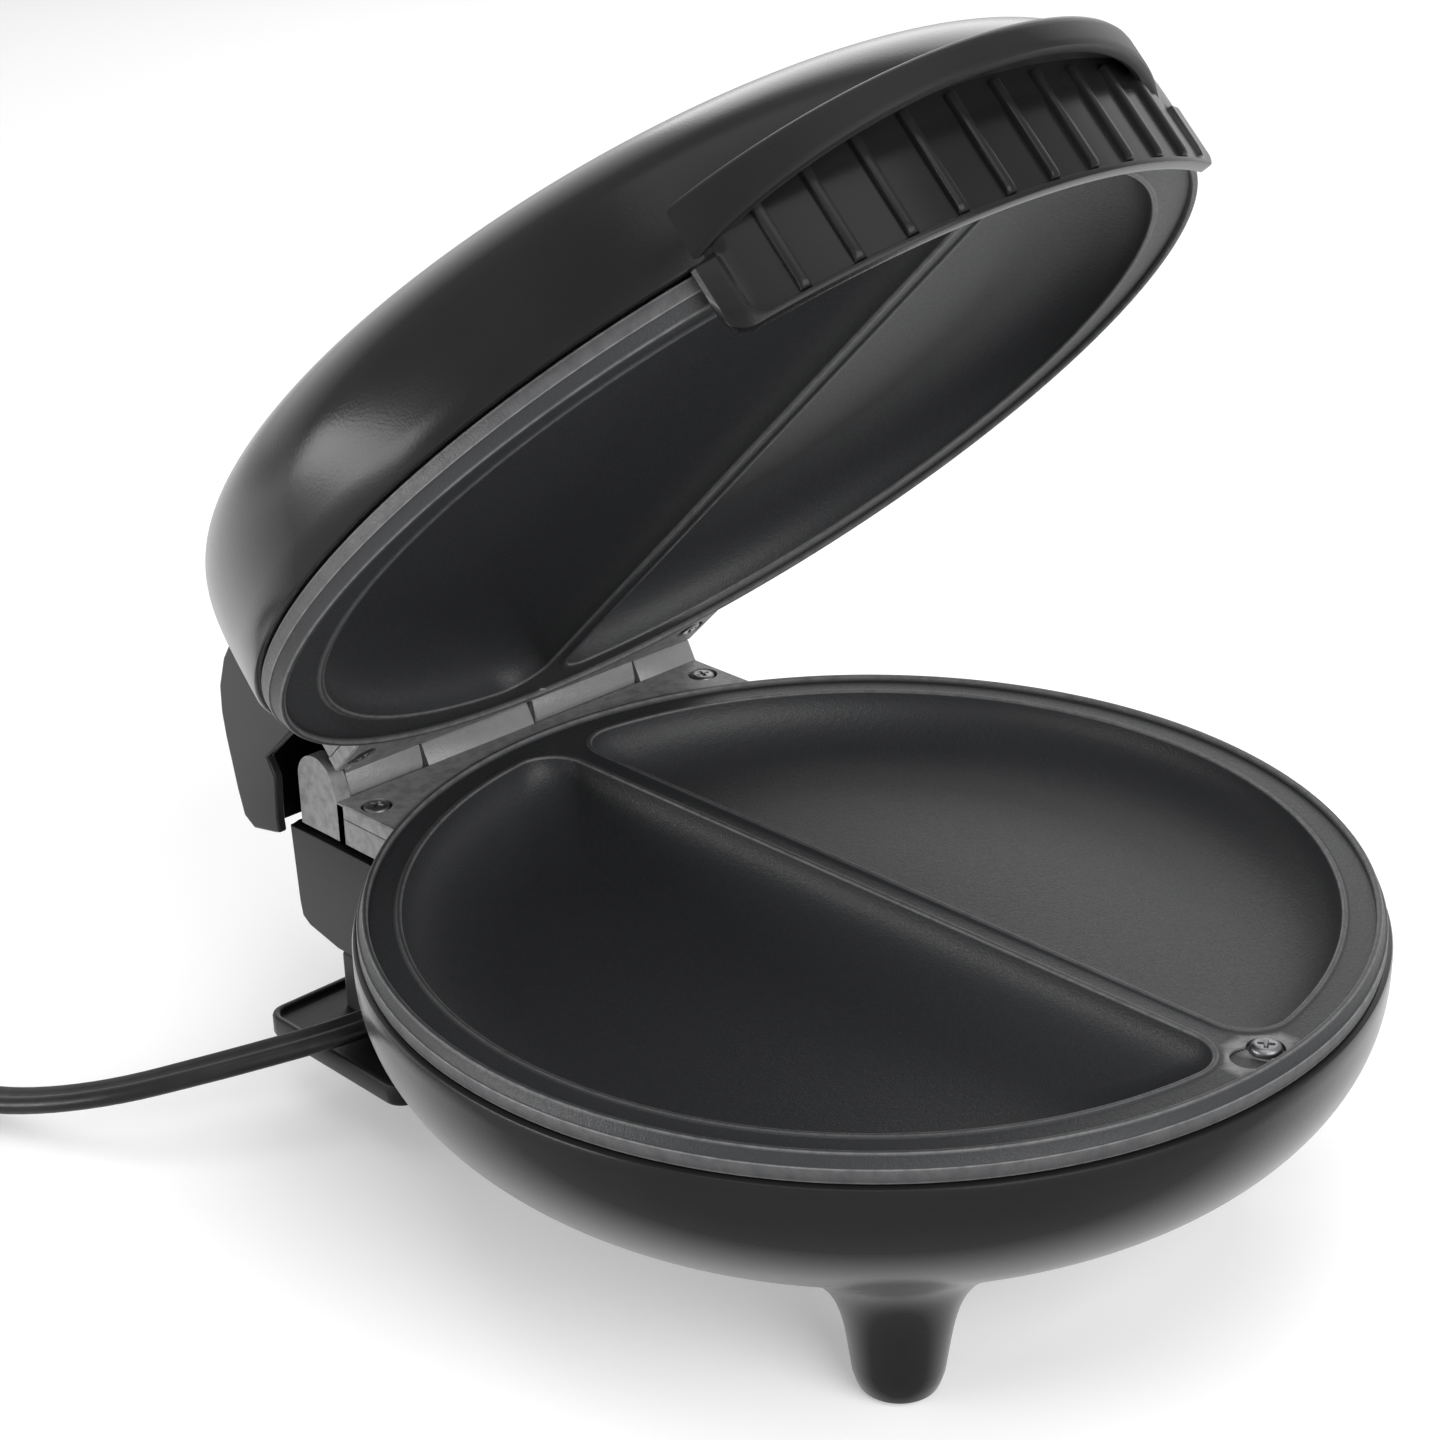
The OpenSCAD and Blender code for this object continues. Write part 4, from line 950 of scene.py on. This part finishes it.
class OMELETTE_OT_cord(Operator):
    """Lays the flat mains cord from its strain relief into a tied coil, with its plug"""

    bl_idname = "omelette.cord"
    bl_label = "Cord and plug"

    def execute(self, context):
        path = smooth_path(CORD_ROUTE, 4)[:-1] + smooth_path(coil_path(), 3)
        cord = Shell()
        cord.loft(swept(path, twin_section(shape().valley)[::-1]), capped=True)
        lead = cord.piece("cord_lead", "base", "sheath", "cord", ["cord", "cord_coil"], angle=60)
        plug = self.plug(path[-1])
        self.relief()
        return {"FINISHED"}

    def plug(self, start):
        """A flat two-blade plug: a ribbed neck that swells into a wide rounded body."""
        s = Shell()
        rings = []
        for t, w, h, soft in plug_stations():
            rings.append([(start[0] + x, start[1] - t, start[2] + z) for x, z in rounded(w, h, soft, 8)])
        s.loft(rings, capped=True)
        return s.piece("plug_moulding", "base", "plug", "plug", ["plug_body"], angle=40)

    def relief(self):
        """The tapered strain relief, with its four grooves."""
        s = Shell()
        x, y, z = CORD_ROUTE[0]
        rings = []
        for d, grow in relief_stations():
            section = rounded(CORD_W + 2 * grow, CORD_T + 2 * grow, CORD_T / 2 + grow, 10)
            rings.append([(x + RELIEF_L - d, y + a, z + b) for a, b in section])
        s.loft(rings[::-1], capped=True)
        s.piece("strain_relief", "base", "plug", "cord", ["cord_grip"], angle=40)


def twin_section(valley, steps=9):
    """A flat two-core section, level, with a valley along the middle of both faces."""
    r = CORD_T / 2
    off = (CORD_W - CORD_T) / 2
    out = []
    for k, sign in ((0, 1), (1, -1)):
        for i in range(steps):
            a = math.radians(-90 + 180 * (i + 0.5) / steps + 180 * k)
            out.append((sign * off + r * math.cos(a), r * math.sin(a)))
        out += [(sign * off * 0.42, sign * (r - valley * 0.55)), (0.0, sign * (r - valley)),
                (-sign * off * 0.42, sign * (r - valley * 0.55))]
    return out


def coil_path():
    """The coil winds in on one layer, climbs where it turns back and winds out on the next."""
    end = 360 * COIL_TURNS
    out = [CORD_ROUTE[-1]]
    for i in range(int(24 * COIL_TURNS) + 1):
        u = 15 * i
        r = COIL_R - COIL_PITCH * min(u, end - u) / 360
        f = min(max((u - end / 2 + 110) / 180, 0), 1)
        a = math.radians(u)
        out.append((COIL_AT[0] + r * math.cos(a), COIL_AT[1] + r * math.sin(a),
                    COIL_Z + COIL_STEP * f * f * (3 - 2 * f)))
    last = out[-1]
    return out + [(last[0], last[1] - COIL_TAIL * k / 3, last[2]) for k in (1, 2, 3)]


def rounded(w, h, r, steps):
    """A rounded rectangle, counter-clockwise, centred."""
    r = min(r, w / 2, h / 2)
    out = []
    for cx, cy, a0 in ((1, 1, 0), (-1, 1, 90), (-1, -1, 180), (1, -1, 270)):
        out += arc(cx * (w / 2 - r), cy * (h / 2 - r), r, a0, a0 + 90, steps)
    return out


def plug_stations():
    """(distance, width, height, corner) along the plug."""
    rows = [(0.0, CORD_W + 1.2, CORD_T + 1.2, 2.4), (0.3, CORD_W + 1.6, CORD_T + 1.6, 2.7)]
    for k in range(3):
        t = 2.2 + 3.4 * k
        wide = CORD_W + 1.8 + 0.7 * (k + 1)
        high = CORD_T + 1.8 + 0.6 * (k + 1)
        rows += [(t, wide, high, high / 2), (t + 0.25, wide - 1.3, high - 1.2, high / 2 - 0.6),
                 (t + 1.1, wide - 1.3, high - 1.2, high / 2 - 0.6), (t + 1.35, wide, high, high / 2)]
    rows += [(PLUG_L * share, *size) for share, *size in
             ((0.46, 13.5, 8.2, 3.6), (0.53, 20.0, 8.6, 3.2), (0.58, 21.6, 9.2, 2.8), (0.8, 23.0, 10.8, 2.2))]
    return rows + [(PLUG_L - 1.0, 23.8, 11.6, 1.8), (PLUG_L - 0.4, 23.5, 11.4, 1.6),
                   (PLUG_L, 22.6, 10.6, 1.3)]


def relief_stations():
    """(distance, thickness round the cord) along the strain relief."""
    rows = [(0.1, 1.9), (3.2, 1.75)]
    for k in range(4):
        t = 4.6 + 5 * k
        grow = 1.7 - 0.16 * k
        rows += [(t - 0.05, grow), (t, grow - 0.55), (t + 1.75, grow - 0.6), (t + 1.8, grow - 0.05)]
    return rows + [(RELIEF_L - 0.6, 0.95), (RELIEF_L, 0.5)]


class OMELETTE_OT_plates(Operator):
    """Casts the two cooking plates with their pockets, rims, ledges and knuckles"""

    bl_idname = "omelette.plates"
    bl_label = "Cooking plates"

    def execute(self, context):
        k, h = KNUCKLES, KNUCKLE_GAP / 2
        lower = casting(0, HINGE_Z, [(k[1] + h, k[2] - h), (k[3] + h, k[4])], True).move(to_parting())
        lower.piece("lower_casting", "base", ["coating", "knuckle_highlight"], "coated_plate", ["lower_plate"], angle=30)
        upper = casting(UPPER_GROW, -HINGE_Z, [(k[0], k[1] - h), (k[2] + h, k[3] - h)], False)
        upper.move(to_lid() @ face_down())
        upper.piece("upper_casting", "lid", ["coating", "knuckle_highlight"], "coated_plate", ["upper_plate"], angle=30)
        return {"FINISHED"}


class OMELETTE_OT_base(Operator):
    """Moulds the bowl-shaped base with its legs, its rear block and its cord outlet"""

    bl_idname = "omelette.base"
    bl_label = "Base housing"

    def execute(self, context):
        s = Shell()
        outside = [(r, BOWL_FROM - z) for r, z in dome(BASE_R, BOWL_H, BOWL_POWER, 72)]
        within = [(r, BOWL_FROM - z) for r, z in dome(BASE_R - WALL, BOWL_H - WALL, BOWL_POWER, 40)]
        edge = [(BASE_R, BASE_EDGE - 0.7), (BASE_R - 0.2, BASE_EDGE - 0.2), (BASE_R - 0.6, BASE_EDGE),
                (BASE_R - WALL + 0.3, BASE_EDGE), (BASE_R - WALL, BASE_EDGE - 0.3)]
        s.lathe(outside[::-1] + edge + within)
        s.move(to_parting())
        for x, y in LEGS:
            self.leg(s, x, y)
        s.piece("base_moulding", "base", "housing", "housing", ["base_housing"], angle=30)
        self.rear_block()
        return {"FINISHED"}

    def rear_block(self):
        """The hollow block behind the bowl: two sides, and a floor that turns up into the back."""
        half, wall = LEDGE_HALF, WALL
        top, under = BLOCK_TOP, BLOCK_UNDER
        outer = [(HINGE_Y - 1, under), (BLOCK_Y - 3.9, under + 2), (BLOCK_Y - 1.6, under + 3.5),
                 (BLOCK_Y - 1, under + 6.9), (BLOCK_Y, top)]
        inner = [(BLOCK_Y - wall, top), (BLOCK_Y - 1 - wall, under + 7.2), (BLOCK_Y - 3.4, under + 4.9),
                 (BLOCK_Y - 4.9, under + 3.9), (HINGE_Y - 1.3, under + wall)]
        b = Shell()
        front = [(skin_y(half, z) - 1.1, z) for z in (top, -16.0, -21.0, -26.0, -31.0, under)]
        for x in (-half, half - wall):
            b.extrude(front + outer, x, x + wall)
        b.extrude(outer + inner, -half + wall, half - wall)
        xs = [(half - wall) * (1 - k / 12) for k in range(25)]
        plan = [(-half + wall, HINGE_Y - 1), (half - wall, HINGE_Y - 1)][::-1]
        plan = [(x, skin_y(x, under) - 1.1) for x in reversed(xs)] + plan
        b.fill(plan, [], under, up=False)
        b.fill(plan, [], under + wall)
        b.loft([at(plan, under + wall), at(plan, under)])
        (y0, y1), (z0, z1) = OUTLET_Y, OUTLET_Z
        b.extrude([(y0, z1), (y0, z0), (y1, z0), (y1, z1)], *OUTLET_X)
        b.move(to_parting())
        b.piece("rear_block", "base", "housing", "housing", bevel=0.9)

    def leg(self, s, x, y):
        """A leg that swells into the bowl: each line up it leaves the foot and ends along the bowl's skin."""
        foot = [(0.0, 0.5), (FOOT_R - 2.2, 0.5), (FOOT_R - 1.2, 0.62), (FOOT_R - 0.45, 1.1),
                (FOOT_R - 0.05, 2.0)]
        shaft = [(FOOT_R + LEG_LEAN * h, h) for h in (4, 6, 8, 10)]
        lines = []
        for i in range(96):
            a = 2 * math.pi * i / 96
            c, d = math.cos(a), math.sin(a)
            reach = 20.0
            end = bowl_height(math.hypot(x + reach * c, y + reach * d))
            near = bowl_height(math.hypot(x + (reach + 1) * c, y + (reach + 1) * d))
            slope = near - end
            p0 = np.array(shaft[-1], float)
            p3 = np.array([reach, end + 0.04])
            span = p3[1] - p0[1]
            p1 = p0 + np.array([LEG_LEAN, 1.0]) * span * 0.62
            p2 = p3 - np.array([1.0, slope]) * 7.5
            curve = []
            for k in range(1, 19):
                t = k / 18
                q = (1 - t) ** 3 * p0 + 3 * (1 - t) ** 2 * t * p1 + 3 * (1 - t) * t * t * p2 + t ** 3 * p3
                curve.append((q[0], q[1]))
            curve.append((reach + 0.8, end + 0.8 * slope + 0.6))
            lines.append([(x + r * c, y + r * d, z) for r, z in foot + shaft + curve])
        rings = [[line[j] for line in lines] for j in range(len(lines[0]))]
        s.loft(rings)


def bowl_height(r):
    """Height of the bowl's outer skin above the surface, at a radius."""
    share = min(r / BASE_R, 0.99999)
    return PARTING + BOWL_FROM - BOWL_H * (1 - share ** BOWL_POWER) ** (1 / BOWL_POWER)


def skin_y(x, z):
    """How far back the bowl's outer skin lies at a place across and a height from the parting plane."""
    share = min(max((BOWL_FROM - z) / BOWL_H, 0.0), 1.0)
    r = BASE_R * (1 - share ** BOWL_POWER) ** (1 / BOWL_POWER)
    return math.sqrt(r * r - x * x)


class OMELETTE_OT_stand(Operator):
    """Moulds the rear stand with its neck and its shallow tray"""

    bl_idname = "omelette.stand"
    bl_label = "Rear stand"

    def execute(self, context):
        s = Shell()
        top, under = TRAY_TOP, TRAY_UNDER

        def ring(inset, z):
            """The tray's plan, drawn in by an inset, at a height."""
            plan = rounded(TRAY_W - 2 * inset, TRAY_D - 2 * inset, TRAY_CORNER - inset * 0.6, 10)
            return [(x, TRAY_Y + y, z) for x, y in plan]

        levels = [(0.9, under), (0.25, under + 0.25), (0, under + 0.9), (0, top - 0.5), (0.15, top - 0.12),
                  (0.45, top), (1.0, top), (1.3, top - 0.15), (1.45, top - 0.5), (1.5, top - 1.2),
                  (1.9, top - 1.4)]
        s.loft([ring(*level) for level in levels], capped=True)
        s.piece("stand_tray", "base", "matte", "stand", ["rear_stand"], angle=35)
        n = Shell()
        low, high = TRAY_TOP - 2.6, PARTING + BLOCK_UNDER
        n.extrude([(NECK_BACK, low), (NECK_BACK, high), (NECK_FRONT, high), (NECK_FRONT, low)],
                  -LEDGE_HALF, LEDGE_HALF)
        n.piece("stand_neck", "base", "matte", "stand", bevel=0.8)
        return {"FINISHED"}


class OMELETTE_OT_lid(Operator):
    """Moulds the domed lid with its rear cover"""

    bl_idname = "omelette.lid"
    bl_label = "Lid housing"

    def execute(self, context):
        s = Shell()
        columns = [self.column(2 * math.pi * i / ROUND_STEPS) for i in range(ROUND_STEPS)]
        s.loft((columns + columns[:1])[::-1], closed=False)
        s.move(Matrix.Translation((0, 0, LID_EDGE)) @ Matrix.Rotation(LID_TILT, 4, "X"))
        s.move(to_lid())
        s.piece("lid_dome", "lid", "housing", "housing", ["lid_housing"], angle=30)
        self.cover()
        return {"FINISHED"}

    def column(self, a):
        """The dome's section at one angle: down its inner skin from the middle, then up its outer one."""
        low = -LID_R * math.sin(a) * math.tan(LID_TILT)
        skins = []
        within, outside = 40, 80
        for inset, steps in ((WALL, within), (0.0, outside)):
            r, h = LID_R - inset, LID_H - LID_EDGE - inset
            heights = [low + (h - low) * z / h for _, z in dome(r, h, LID_POWER, steps)]
            skins.append([(r * (1 - min(max(z, 0.0) / h, 1.0) ** LID_POWER) ** (1 / LID_POWER), z)
                          for z in heights])
        edge = [(LID_R - inset, low + up)
                for inset, up in ((WALL - 0.3, 0), (0.7, 0), (0.25, 0.18), (0.03, 0.6))]
        section = skins[0][::-1] + edge + [p for p in skins[1] if p[1] > low + 0.9]
        section += [section[-1]] * (within + 1 + len(edge) + outside + 1 - len(section))
        return [(r * math.cos(a), r * math.sin(a), z) for r, z in section]

    def cover(self):
        """The rear cover: a curved roof and back between two side walls."""
        hull = [(129.8, 8.2), (126.9, 13.4), (123.6, 18.4), (120.6, 23.0), (117.2, 27.4), (112.8, 31.4),
                (106.2, 34.5), (97.5, 36.1), (84, 36.7), (60, 37)]
        core = [(60, 34.7), (84, 34.4), (97, 33.8), (105, 32.3), (111.2, 29.6), (115.6, 25.9), (118.9, 21.7),
                (121.9, 17.1), (125.0, 12.3), (127.4, 8.3)]
        roof = Shell()
        roof.extrude([(127.4, 3.7), (128.9, 4.6)] + hull + core, -COVER_HALF + 1, COVER_HALF - 1)
        roof.move(to_lid())
        roof.piece("cover_roof", "lid", "housing", "housing", angle=25)
        sides = Shell()
        low = [(110.5, 12.5), (111.6, 8.2), (118.7, 2), (120.8, -0.6), (122.3, 0.2), (128.8, 4.5)]
        for x0 in (-COVER_HALF, COVER_HALF - 2):
            sides.extrude([(60, 17), (71, 11)] + low + hull, x0, x0 + 2)
        sides.move(to_lid())
        sides.piece("cover_sides", "lid", "housing", "housing", angle=25, bevel=0.5)


class OMELETTE_OT_handle(Operator):
    """Moulds the handle: the arched hood and the ribbed grip under it"""

    bl_idname = "omelette.handle"
    bl_label = "Handle"

    def execute(self, context):
        hood = Shell()
        end = math.asin(HOOD_HALF / HOOD_R)
        hood.loft([self.hood_ring(a) for a in np.linspace(end, -end, 121)], capped=True)
        hood.move(to_lid() @ Matrix.Rotation(HANDLE_TURN, 4, "Z"))
        hood.piece("handle_hood", "lid", "matte", "handle", ["handle"], angle=35)
        grip = Shell()
        self.wall(grip)
        self.ribs(grip)
        grip.move(to_lid() @ Matrix.Rotation(HANDLE_TURN, 4, "Z"))
        grip.piece("handle_grip", "lid", "grip", "handle", angle=35)
        return {"FINISHED"}

    def hood_ring(self, a):
        """The hood's section at one angle of its arc: from its lower lip over the top and back inside."""
        x, y = HOOD_R * math.sin(a), HOOD_R - HOOD_Y - HOOD_R * math.cos(a)
        low, top = arch(x), HOOD_Z
        inward = Vector((-math.sin(a), math.cos(a)))
        start = Vector((x, y))
        deep = 3.0
        while (start + inward * deep).length > HOOD_INNER:
            deep += 0.1
        cut = top - 2.4
        section = [(2.2, low + 0.1), (0.9, low), (0.3, low + 0.2), (0.05, low + 0.7), (0.0, low + 1.4),
                   (0.0, top - 2.0), (0.14, top - 1.1), (0.5, top - 0.45), (1.1, top - 0.1), (2.0, top),
                   (deep, top), (deep, cut), (3.3, cut), (2.95, cut - 0.3), (2.8, cut - 0.8),
                   (2.8, min(low + 0.8, cut - 0.9))]
        return [(*(start + inward * d), z) for d, z in section]

    def wall(self, s):
        """The grip's curved wall: a border round a sunk panel, and above the hood's ends behind its band."""
        span = GRIP_R * math.radians(GRIP_HALF)
        corner, border = 4.4, 4.6
        rings = []
        for t in np.linspace(-1, 1, 161):
            along = t * span
            a = along / GRIP_R
            near = max(0.0, abs(along) - (span - corner))
            low = corner - GRIP_DROP - math.sqrt(max(corner ** 2 - near ** 2, 0.0))
            beside = max(0.0, abs(along) - (span - border - 3.0))
            sill = low + 1.4 + 3.0 - math.sqrt(max(9.0 - min(beside, 3.0) ** 2, 0.0))
            sunk = shape().panel_depth * min(max((span - border - abs(along)) / 0.45, 0.0), 1.0)
            r = GRIP_R - 0.5 * max(0.0, (abs(along) - span + 0.5) / 0.5) ** 2
            band = band_radius(a, 0.7)
            back = min(GRIP_INNER, band - 1.5)
            face = min(r - sunk, band)
            section = [(GRIP_INNER, low + 0.3), (GRIP_INNER + 0.2, low), (r - 0.45, low),
                       (r - 0.12, low + 0.14), (r, low + 0.45), (r, sill - 0.45), (r - sunk, sill),
                       (r - sunk, ARCH_END - 1.4), (face, ARCH_END), (face, HOOD_Z - 1.6),
                       (back, HOOD_Z - 1.6), (back, ARCH_END), (GRIP_INNER, ARCH_END - 1.4)]
            rings.append([(q * math.sin(a), -q * math.cos(a), z) for q, z in section])
        s.loft(rings[::-1], capped=True)

    def ribs(self, s):
        """The ribs that stand in the grip's panel, from its lower border to the hood."""
        count = shape().rib_count
        w, tall = shape().rib_width / 2, shape().rib_height
        base = GRIP_R - shape().panel_depth
        for i in range(count):
            turn = (i - (count - 1) / 2) * RIB_PITCH
            a = math.radians(turn)
            c, d = math.cos(a), math.sin(a)
            foot = -GRIP_DROP + 1.3
            rings = []
            levels = [(foot, 0.1), (foot + 0.15, 0.5), (foot + 0.5, 0.8), (foot + 1.1, 0.96), (foot + 2, 1.0),
                      (arch(GRIP_R * d) + 2.2, 1.0)]
            for z, grow in levels:
                high, shoulder = 0.2 + tall * grow, 0.1 + tall * grow * 0.5
                section = [(-w, -0.2), (-w, shoulder), (-w * 0.78, high * 0.86), (-w * 0.4, high),
                           (w * 0.4, high), (w * 0.78, high * 0.86), (w, shoulder), (w, -0.2)]
                rings.append([(u * c + (base + v) * d, u * d - (base + v) * c, z) for u, v in section])
            s.loft(rings, capped=True)


def arch(x):
    """Height of the hood's lower edge at a distance from its middle."""
    share = min(abs(x) / ARCH_HALF, 1.0)
    rise = (1 - share ** ARCH_POWER) ** (1 / ARCH_POWER)
    return max(ARCH_END - 1.5 + (ARCH_Z - ARCH_END + 1.5) * rise, ARCH_END - 1)


def band_radius(a, inset):
    """Distance from the lid's middle of the hood's band, less an inset, at an angle from the front."""
    off = HOOD_Y - HOOD_R
    r = HOOD_R - inset
    return off * math.cos(a) + math.sqrt(r * r - (off * math.sin(a)) ** 2)


class OMELETTE_OT_screws(Operator):
    """Turns the cross-slotted screws that hold the plates"""

    bl_idname = "omelette.screws"
    bl_label = "Plate screws"

    def execute(self, context):
        places = [(x, y, LEDGE_TOP - REAR_SEAT) for x, y in SCREWS] + [(*FRONT_SCREW, LAND_Z - FRONT_SEAT)]
        for name, body, move in (("lower", "base", to_parting()), ("upper", "lid", to_lid() @ face_down())):
            s = Shell()
            for k, (x, y, z) in enumerate(places):
                head = screw_head(HEAD_R, HEAD_H)
                head.move(Matrix.Translation((x, y, z)) @ Matrix.Rotation(math.radians(25 + 50 * k), 4, "Z"))
                s.join(head)
            s.move(move)
            s.piece(name + "_screw_heads", body, "screw", "screw", [name + "_plate_screws"], angle=35)
        return {"FINISHED"}


def screw_head(r, high, steps=48):
    """A pan head with a cross recess, its underside at zero, and a plain shank."""
    s = Shell()
    slot, reach, deep = 0.42, 1.55, 0.95
    cross = []
    for q in range(4):
        a = math.pi / 2 * q
        for u, v in ((reach, -slot), (reach, slot), (slot, slot)):
            cross.append((u * math.cos(a) - v * math.sin(a), u * math.sin(a) + v * math.cos(a)))
    flat = circle(0, 0, r * 0.66, steps)
    s.fill(flat, [cross], high)
    s.loft([at(cross, high), at([(x * 0.45, y * 0.45) for x, y in cross], high - deep)])
    s.fill([(x * 0.45, y * 0.45) for x, y in cross], [], high - deep)
    rows = [(r * 0.66, high), (r * 0.82, high - 0.12), (r * 0.94, high - 0.4), (r, high - 0.85), (r, 0.05),
            (r - 0.1, 0.0), (SHANK_R, 0.0), (SHANK_R, 0.5 - SHANK_L), (SHANK_R - 0.35, -SHANK_L)]
    s.loft([at(circle(0, 0, q, steps), z) for q, z in rows][::-1])
    s.fill(circle(0, 0, SHANK_R - 0.35, steps), [], -SHANK_L, up=False)
    return s


class OMELETTE_OT_inner(Operator):
    """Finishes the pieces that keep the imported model's own shape"""

    bl_idname = "omelette.inner"
    bl_label = "Inner pieces and fittings"

    def execute(self, context):
        kept = {
            "rubber": ["foot_pads"],
            "screw": ["stand_screws", "lower_shield_screws", "upper_shield_screws", "handle_screws"],
            "element": ["lower_element", "upper_element"],
            "sheet": ["lower_heat_shield", "upper_heat_shield", "sensor_clips"],
            "pin": ["thermostat", "hinge_pin", "thermal_fuse"],
            "ceramic": ["terminal_block"],
            "sleeve": ["base_wiring", "lid_wiring"],
            "lens": ["indicator_lenses"],
            "lamp": ["indicator_lamps"],
            "matte": ["lamp_holder"],
            "tie": ["cord_tie"],
            "brass": ["plug_blades"],
        }
        for name, nodes in kept.items():
            for node in nodes:
                mesh = NODES[node].data
                mesh.materials.clear()
                mesh.materials.append(material(name))
        return {"FINISHED"}


class OMELETTE_PT_panel(Panel):
    """Lists the steps that build the omelette maker"""

    bl_label = "Omelette maker"
    bl_idname = "OMELETTE_PT_panel"
    bl_space_type = "VIEW_3D"
    bl_region_type = "UI"
    bl_category = "Omelette maker"

    def draw(self, context):
        """One button for each step, and a box for each group of settings."""
        for step in STEPS:
            self.layout.operator(step.bl_idname)
        for group, _ in GROUPS:
            settings = getattr(context.scene, group)
            box = self.layout.box()
            for name in settings.__annotations__:
                box.prop(settings, name)


STEPS = (OMELETTE_OT_stage, OMELETTE_OT_cord, OMELETTE_OT_plates, OMELETTE_OT_base, OMELETTE_OT_stand,
         OMELETTE_OT_lid, OMELETTE_OT_handle, OMELETTE_OT_screws, OMELETTE_OT_inner)
GROUPS = (("omelette_shape", ShapeSettings), ("omelette_finish", FinishSettings),
          ("omelette_stage", StageSettings))


def register():
    """Adds the settings, the steps and the panel."""
    for name, group in GROUPS:
        bpy.utils.register_class(group)
        setattr(bpy.types.Scene, name, PointerProperty(type=group))
    for item in (*STEPS, OMELETTE_PT_panel):
        bpy.utils.register_class(item)


def unregister():
    """Takes them away again."""
    for item in reversed((*STEPS, OMELETTE_PT_panel)):
        bpy.utils.unregister_class(item)
    for name, group in reversed(GROUPS):
        delattr(bpy.types.Scene, name)
        bpy.utils.unregister_class(group)


def main():
    """Runs the steps in order."""
    register()
    for step in STEPS:
        getattr(bpy.ops.omelette, step.bl_idname.split(".")[1])()


if __name__ == "__main__":
    main()
